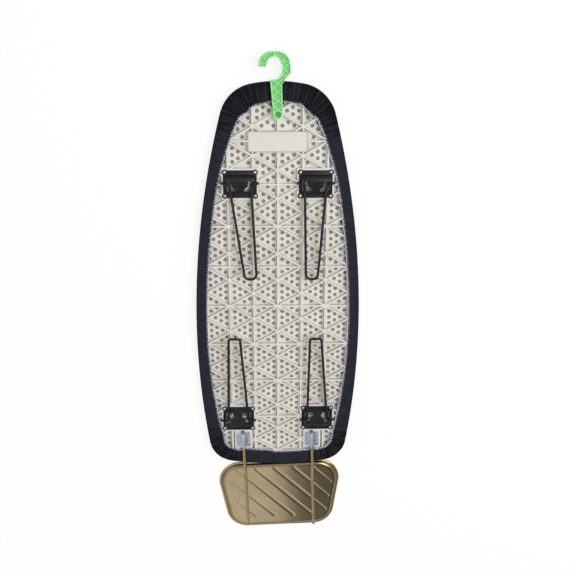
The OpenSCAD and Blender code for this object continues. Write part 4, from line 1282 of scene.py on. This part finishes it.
@dataclass
class IronPan:
    """Pressed pan of the iron rest: panel with slanting ribs, curved wall and rolled edge, in millimetres.

    Turns are in degrees, rib_starts gives each rib's first end and length, and each shade gives the rim's
    painted shade where the section starts to turn and what it gains.
    """

    inner_y: float = -401.2
    outer_y: float = -563.7
    inner_half: float = 139.0
    outer_half: float = 110.5
    corner: float = 46.0
    corner_cuts: int = 12
    edge_to_panel: float = 13.0
    panel_z: float = 9.97
    wall_reach: float = 9.6
    wall_turns: range = range(10, 80, 10)
    wall_shade: tuple[float, float] = (0.25, 0.7)
    bead_r: float = 2.2
    bead_z: float = 2.7
    bead_turns: range = range(475, 175, -25)
    bead_shade: tuple[float, float] = (0.35, -0.25)
    sheet: float = 0.7
    cell: float = 1.5
    rib_half: float = 4.4
    rib_depth: float = 0.42
    rib_way: tuple[float, float] = (math.sqrt(0.5), -math.sqrt(0.5))
    rib_starts: tuple[tuple[float, float, float], ...] = (
        (-92.2, -497.0, 54.7), (-100.9, -447.3, 125.0), (-91.0, -416.2, 169.0), (-50.0, -416.2, 169.0),
        (-9.0, -416.2, 153.3), (32.0, -416.2, 103.9), (73.0, -416.2, 54.6),
    )
    askew_deg: float = 2.0
    askew_y: float = -357.055
    middle: float = 1e-9

    def corner_at(self, y: float) -> Vector:
        """Centre of the right-hand rounded corner that lies at the given Y.

        Args:
            y: Y of the centre.

        Returns:
            The centre, at no height.
        """
        slant = (self.inner_half - self.outer_half) / (self.inner_y - self.outer_y)
        aside = self.corner * math.hypot(1, slant)
        return Vector((self.inner_half - (self.inner_y - y) * slant - aside, y, 0))

    def corners(self) -> tuple[Vector, Vector, float]:
        """Find the rounded corners on the right.

        Returns:
            Centres of the inner and the outer one, and the lean of the side between them in radians.
        """
        inner = self.corner_at(self.inner_y - self.corner)
        outer = self.corner_at(self.outer_y + self.corner)
        return inner, outer, math.atan2(inner.x - outer.x, inner.y - outer.y)

    def outward(self, place: Vector) -> Vector:
        """Find the way straight out from the pan at a place near its edge.

        Args:
            place: The place.

        Returns:
            The way, as long as 1.
        """
        inner, outer, taper = self.corners()
        right = Vector((abs(place.x), place.y, 0))
        slope = Vector((math.cos(taper), -math.sin(taper), 0))
        if right.x < inner.x and right.y > inner.y:
            way = Vector((0, 1, 0))
        elif right.x < outer.x and right.y < outer.y:
            way = Vector((0, -1, 0))
        else:
            along = Vector((slope.y, -slope.x, 0))
            way = slope
            if (right - inner).dot(along) < 0:
                way = (right - inner).normalized()
            elif (right - outer).dot(along) > 0:
                way = (right - outer).normalized()
        return Vector((math.copysign(way.x, place.x) if abs(place.x) > self.middle else way.x, way.y, 0))

    def panel(self) -> bmesh.types.BMesh:
        """Cut a fine grid to the panel's rounded outline.

        Returns:
            The flat panel, in millimetres.
        """
        bm = bmesh.new()
        width, height = 2 * self.inner_half, self.inner_y - self.outer_y
        bmesh.ops.create_grid(
            bm, x_segments=round(width / self.cell), y_segments=round(height / self.cell), size=0.5
        )
        bmesh.ops.scale(bm, vec=(width, height, 1), verts=bm.verts)
        bmesh.ops.translate(bm, verts=bm.verts, vec=(0, (self.inner_y + self.outer_y) / 2, self.panel_z))
        inner, outer, taper = self.corners()
        reach = self.corner - self.edge_to_panel
        for centre, first, last in [(inner, math.pi / 2, -taper), (outer, -taper, -math.pi / 2)]:
            for k in range(self.corner_cuts + 1):
                turn = first + (last - first) * k / self.corner_cuts
                way = Vector((math.cos(turn), math.sin(turn), 0))
                for side in (1, -1):
                    flip = Vector((side, 1, 1))
                    bmesh.ops.bisect_plane(
                        bm, geom=[*bm.verts, *bm.edges, *bm.faces], plane_co=(centre + way * reach) * flip,
                        plane_no=way * flip, clear_outer=True,
                    )
        return bm

    def sink(self, place: Vector) -> float:
        """Depth of the ribs at a place on the panel.

        Args:
            place: The place.

        Returns:
            The depth in millimetres.
        """
        depth = 0.0
        way = Vector(self.rib_way)
        for x, y, length in self.rib_starts:
            off = Vector((place.x - x, place.y - y))
            along = min(length, max(0.0, off.dot(way)))
            gap = (off - way * along).length
            if gap < self.rib_half:
                depth = max(depth, self.rib_depth * math.cos(gap / self.rib_half * math.pi / 2) ** 2)
        return depth

    def section(self) -> list[tuple[float, float, float]]:
        """Lay out the rim's section, from the panel down the wall and round the rolled edge.

        Returns:
            Distance in from the pan's outline, height and rim shade of each point.
        """
        drop = self.panel_z - self.bead_z
        points = []
        for t in map(math.radians, self.wall_turns):
            reach = self.edge_to_panel - self.wall_reach * math.sin(t)
            shade = self.wall_shade[0] + self.wall_shade[1] * math.sin(t)
            points.append((reach, self.bead_z + drop * math.cos(t), shade))
        for t in map(math.radians, self.bead_turns):
            reach = self.bead_r - self.bead_r * math.cos(t)
            shade = self.bead_shade[0] + self.bead_shade[1] * math.sin(t)
            points.append((reach, self.bead_z + self.bead_r * math.sin(t), shade))
        return points

    def build(self) -> bpy.types.Object:
        """Model the pan.

        Returns:
            The pan.
        """
        bm = self.panel()
        edges = [e for e in bm.edges if e.is_boundary]
        for vert in bm.verts:
            vert.co.z -= self.sink(vert.co)
        inset = self.edge_to_panel
        # Painted rim shade for each vertex, darkest down the wall.
        layer = bm.verts.layers.float.new("rim_shade")
        for reach, z, shade in self.section():
            made = bmesh.ops.extrude_edge_only(bm, edges=edges)["geom"]
            edges = [g for g in made if isinstance(g, bmesh.types.BMEdge) and g.is_boundary]
            for vert in (g for g in made if isinstance(g, bmesh.types.BMVert)):
                vert.co += self.outward(vert.co) * (inset - reach)
                vert.co.z = z
                vert[layer] = shade
            inset = reach
        bmesh.ops.recalc_face_normals(bm, faces=bm.faces)
        bmesh.ops.solidify(bm, geom=bm.faces[:], thickness=self.sheet)
        askew = Matrix.Rotation(math.radians(self.askew_deg), 3, "Z")
        bmesh.ops.rotate(bm, verts=bm.verts, cent=(0, self.askew_y, 0), matrix=askew)
        bmesh.ops.scale(bm, verts=bm.verts, vec=(MM, MM, MM))
        piece = finish_piece("iron_pan", bm, GOLD, Body.IRON_REST)
        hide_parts("iron_tray")
        return piece


@dataclass
class Dressing:
    """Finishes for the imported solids, by how their names end.

    Attributes:
        finishes: The finish of each kind of solid.
        broken: Width of its broken edges in millimetres, where they show.
        crease_deg: Angle past which an edge is sharp.
        plain_deg: Angle up to which two faces are one.
        weld_m: Distance up to which two corners are one, in metres.
    """

    finishes: dict[str, Finish] = field(default_factory=lambda: {
        "deck": CREAM, "hook": GREEN, "rivets": RIVET, "sleeve": SLEEVE, "rod": ROD,
        "bracket": BLACK, "leg": BLACK, "cover": COTTON, "pad": FELT, "elastic": ELASTIC, "tray": GOLD,
    })
    broken: dict[str, float] = field(default_factory=lambda: {"bracket": 0.45, "hook": 0.5, "sleeve": 0.25})
    crease_deg: float = 32.0
    plain_deg: float = 0.6
    weld_m: float = 1e-6

    def break_edges(self, solid: bpy.types.Object, width_mm: float) -> None:
        """Break a solid's sharp edges, as pressing or moulding leaves them.

        Args:
            solid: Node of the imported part.
            width_mm: Width of the broken edge.
        """
        flat = solid.modifiers.new("plain_faces", "DECIMATE")
        flat.decimate_type = "DISSOLVE"
        flat.angle_limit = math.radians(self.plain_deg)
        bevel = solid.modifiers.new("broken_edges", "BEVEL")
        bevel.width = width_mm * MM
        bevel.segments = 2
        bevel.limit_method = "ANGLE"
        bevel.angle_limit = math.radians(self.crease_deg)

    def smooth_faces(self, solid: bpy.types.Object) -> None:
        """Shade a solid's curved faces smoothly and keep its edges crisp.

        Args:
            solid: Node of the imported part.
        """
        solid.data.polygons.foreach_set("use_smooth", [True] * len(solid.data.polygons))
        split = solid.modifiers.new("crisp_edges", "EDGE_SPLIT")
        split.split_angle = math.radians(self.crease_deg)

    def dress(self) -> None:
        """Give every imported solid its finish."""
        for name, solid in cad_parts.items():
            finish = next(f for end, f in self.finishes.items() if name.endswith(end))
            solid.data.materials.clear()
            solid.data.materials.append(finish.material())
            solid.modifiers.new("join", "WELD").merge_threshold = self.weld_m
            for end, width in self.broken.items():
                if name.endswith(end):
                    self.break_edges(solid, width)
            self.smooth_faces(solid)
            LOG.info("%s dressed as %s", name, finish.name)


@dataclass(frozen=True)
class Lamp:
    """A square soft light that points at the board's middle, in metres and watts."""

    name: str
    place: tuple[float, float, float]
    size: float
    watts: float

    def hang(self) -> None:
        """Put the light in the scene."""
        data = bpy.data.lights.new(self.name, "AREA")
        data.size = self.size
        data.energy = self.watts
        lamp = bpy.data.objects.new(self.name, data)
        lamp.location = self.place
        lamp.rotation_mode = "QUATERNION"
        lamp.rotation_quaternion = (-Vector(self.place)).to_track_quat("-Z", "Y")
        bpy.context.scene.collection.objects.link(lamp)


@dataclass
class Studio:
    """White floor, soft lights and the photograph's camera, in metres.

    A strength of 1 is white. The floor is floor_white of the way to white where the board lies, so that it
    keeps the shadow, and quite white past the second distance of floor_fade.
    """

    eye: tuple[float, float, float] = (-0.02907, 0.54197, 1.5526)
    right: tuple[float, float, float] = (0.999525, 0.004308, 0.030523)
    up: tuple[float, float, float] = (0.006096, 0.943013, -0.332701)
    ahead: tuple[float, float, float] = (0.030217, -0.332729, -0.942538)
    lens: float = 51.19
    sensor: float = 36.0
    floor_z: float = -0.0006
    floor_x: tuple[float, float] = (-5.0, 5.0)
    floor_y: tuple[float, float] = (-5.0, 5.0)
    floor_white: float = 0.85
    floor_fade: tuple[float, float] = (0.8, 2.4)
    card_z: float = 1.5
    card_x: tuple[float, float] = (0.073, 1.3)
    card_y: tuple[float, float] = (-2.9, -0.35)
    card_grey: float = 0.19
    room: str = "#FFF9F1"
    room_light: float = 0.5
    lamps: tuple[Lamp, ...] = (
        Lamp("key_light", (1.5, 0.8, 2.8), 2.0, 65.0), Lamp("fill_light", (-1.4, 0.2, 1.7), 1.6, 4.0),
    )

    def camera(self) -> None:
        """Set the camera where the photograph was taken."""
        data = bpy.data.cameras.new("photograph")
        data.lens = self.lens
        data.sensor_width = self.sensor
        camera = bpy.data.objects.new("photograph", data)
        turn = Matrix((self.right, self.up, [-a for a in self.ahead])).transposed()
        camera.matrix_world = Matrix.Translation(self.eye) @ turn.to_4x4()
        bpy.context.scene.collection.objects.link(camera)
        bpy.context.scene.camera = camera

    def seen(self, tree: bpy.types.NodeTree) -> bpy.types.Node:
        """Tell rays that look at the background straight, in gloss or through glass.

        Args:
            tree: Node tree that gets the test.

        Returns:
            The node that gives 1 for such a ray and 0 for any other.
        """
        path = add_node(tree, "LightPath").outputs
        gloss = add_node(
            tree, "Math", {"operation": "MAXIMUM"}, i0=path["Is Glossy Ray"], i1=path["Is Transmission Ray"]
        )
        return add_node(tree, "Math", {"operation": "MAXIMUM"}, i0=path["Is Camera Ray"], i1=gloss)

    def plane(
        self, name: str, x: tuple[float, float], y: tuple[float, float], z: float,
        material: bpy.types.Material,
    ) -> bpy.types.Object:
        """Lay one level sheet that isn't part of the object.

        Args:
            name: Its name.
            x: Its first and last X.
            y: Its first and last Y.
            z: Its height.
            material: Its material.

        Returns:
            The sheet, marked as stage.
        """
        bm = bmesh.new()
        bmesh.ops.create_grid(bm, x_segments=1, y_segments=1, size=0.5)
        bmesh.ops.scale(bm, vec=(x[1] - x[0], y[1] - y[0], 1), verts=bm.verts)
        bmesh.ops.translate(bm, verts=bm.verts, vec=(sum(x) / 2, sum(y) / 2, z))
        mesh = bpy.data.meshes.new(name)
        bm.to_mesh(mesh)
        bm.free()
        mesh.materials.append(material)
        plane = bpy.data.objects.new(name, mesh)
        bpy.context.scene.collection.objects.link(plane)
        return plane

    def floor(self) -> None:
        """Lay a plain white floor that keeps the object's shadow and fades to white round it."""
        material = bpy.data.materials.new("white_paper")
        tree = empty_tree(material)
        paper = add_node(tree, "BsdfDiffuse", Color=linear(WHITE))
        white = add_node(tree, "Emission", Color=linear(WHITE), Strength=1.0)
        place = add_node(tree, "TexCoord").outputs["Object"]
        away = add_node(tree, "VectorMath", {"operation": "LENGTH"}, i0=place).outputs["Value"]
        bright = add_node(
            tree, "MapRange", {"interpolation_type": "SMOOTHSTEP"}, Value=away,
            From_Min=self.floor_fade[0], From_Max=self.floor_fade[1], To_Min=self.floor_white, To_Max=1.0,
        )
        share = add_node(tree, "Math", {"operation": "MULTIPLY"}, i0=self.seen(tree), i1=bright)
        mix = add_node(tree, "MixShader", Fac=share, i1=paper, i2=white)
        add_node(tree, "OutputMaterial", Surface=mix)
        self.plane("floor", self.floor_x, self.floor_y, self.floor_z, material)

    def world(self) -> None:
        """Light the room evenly, and show it white to the camera and to gloss."""
        world = bpy.data.worlds.new("white_room")
        bpy.context.scene.world = world
        tree = empty_tree(world)
        room = add_node(tree, "Background", Color=linear(self.room), Strength=self.room_light)
        white = add_node(tree, "Background", Color=linear(WHITE), Strength=1.0)
        mix = add_node(tree, "MixShader", Fac=self.seen(tree), i1=room, i2=white)
        add_node(tree, "OutputWorld", Surface=mix)

    def card(self) -> None:
        """Hang a dark card that shows only as a reflection in the iron pan's right half."""
        material = bpy.data.materials.new("grey_card")
        tree = empty_tree(material)
        grey = add_node(tree, "Emission", Color=linear(WHITE), Strength=self.card_grey)
        add_node(tree, "OutputMaterial", Surface=grey)
        card = self.plane("dark_card", self.card_x, self.card_y, self.card_z, material)
        card.visible_camera = card.visible_diffuse = card.visible_shadow = card.visible_transmission = False

    def build(self) -> None:
        """Set up camera, floor, room and lights."""
        bpy.context.scene.view_settings.view_transform = "Standard"
        self.camera()
        self.floor()
        self.world()
        for lamp in self.lamps:
            lamp.hang()
        self.card()


def main() -> None:
    """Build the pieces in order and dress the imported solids."""
    logging.basicConfig(level=logging.INFO, format="%(name)s: %(message)s")
    Studio().build()
    Dressing().dress()
    cover = Cover()
    cloth, free_edge = cover.build()
    overlock = Overlock().build(free_edge)
    Pad().build()
    HemElastic().build()
    IronPan().build()


if __name__ == "__main__":
    main()
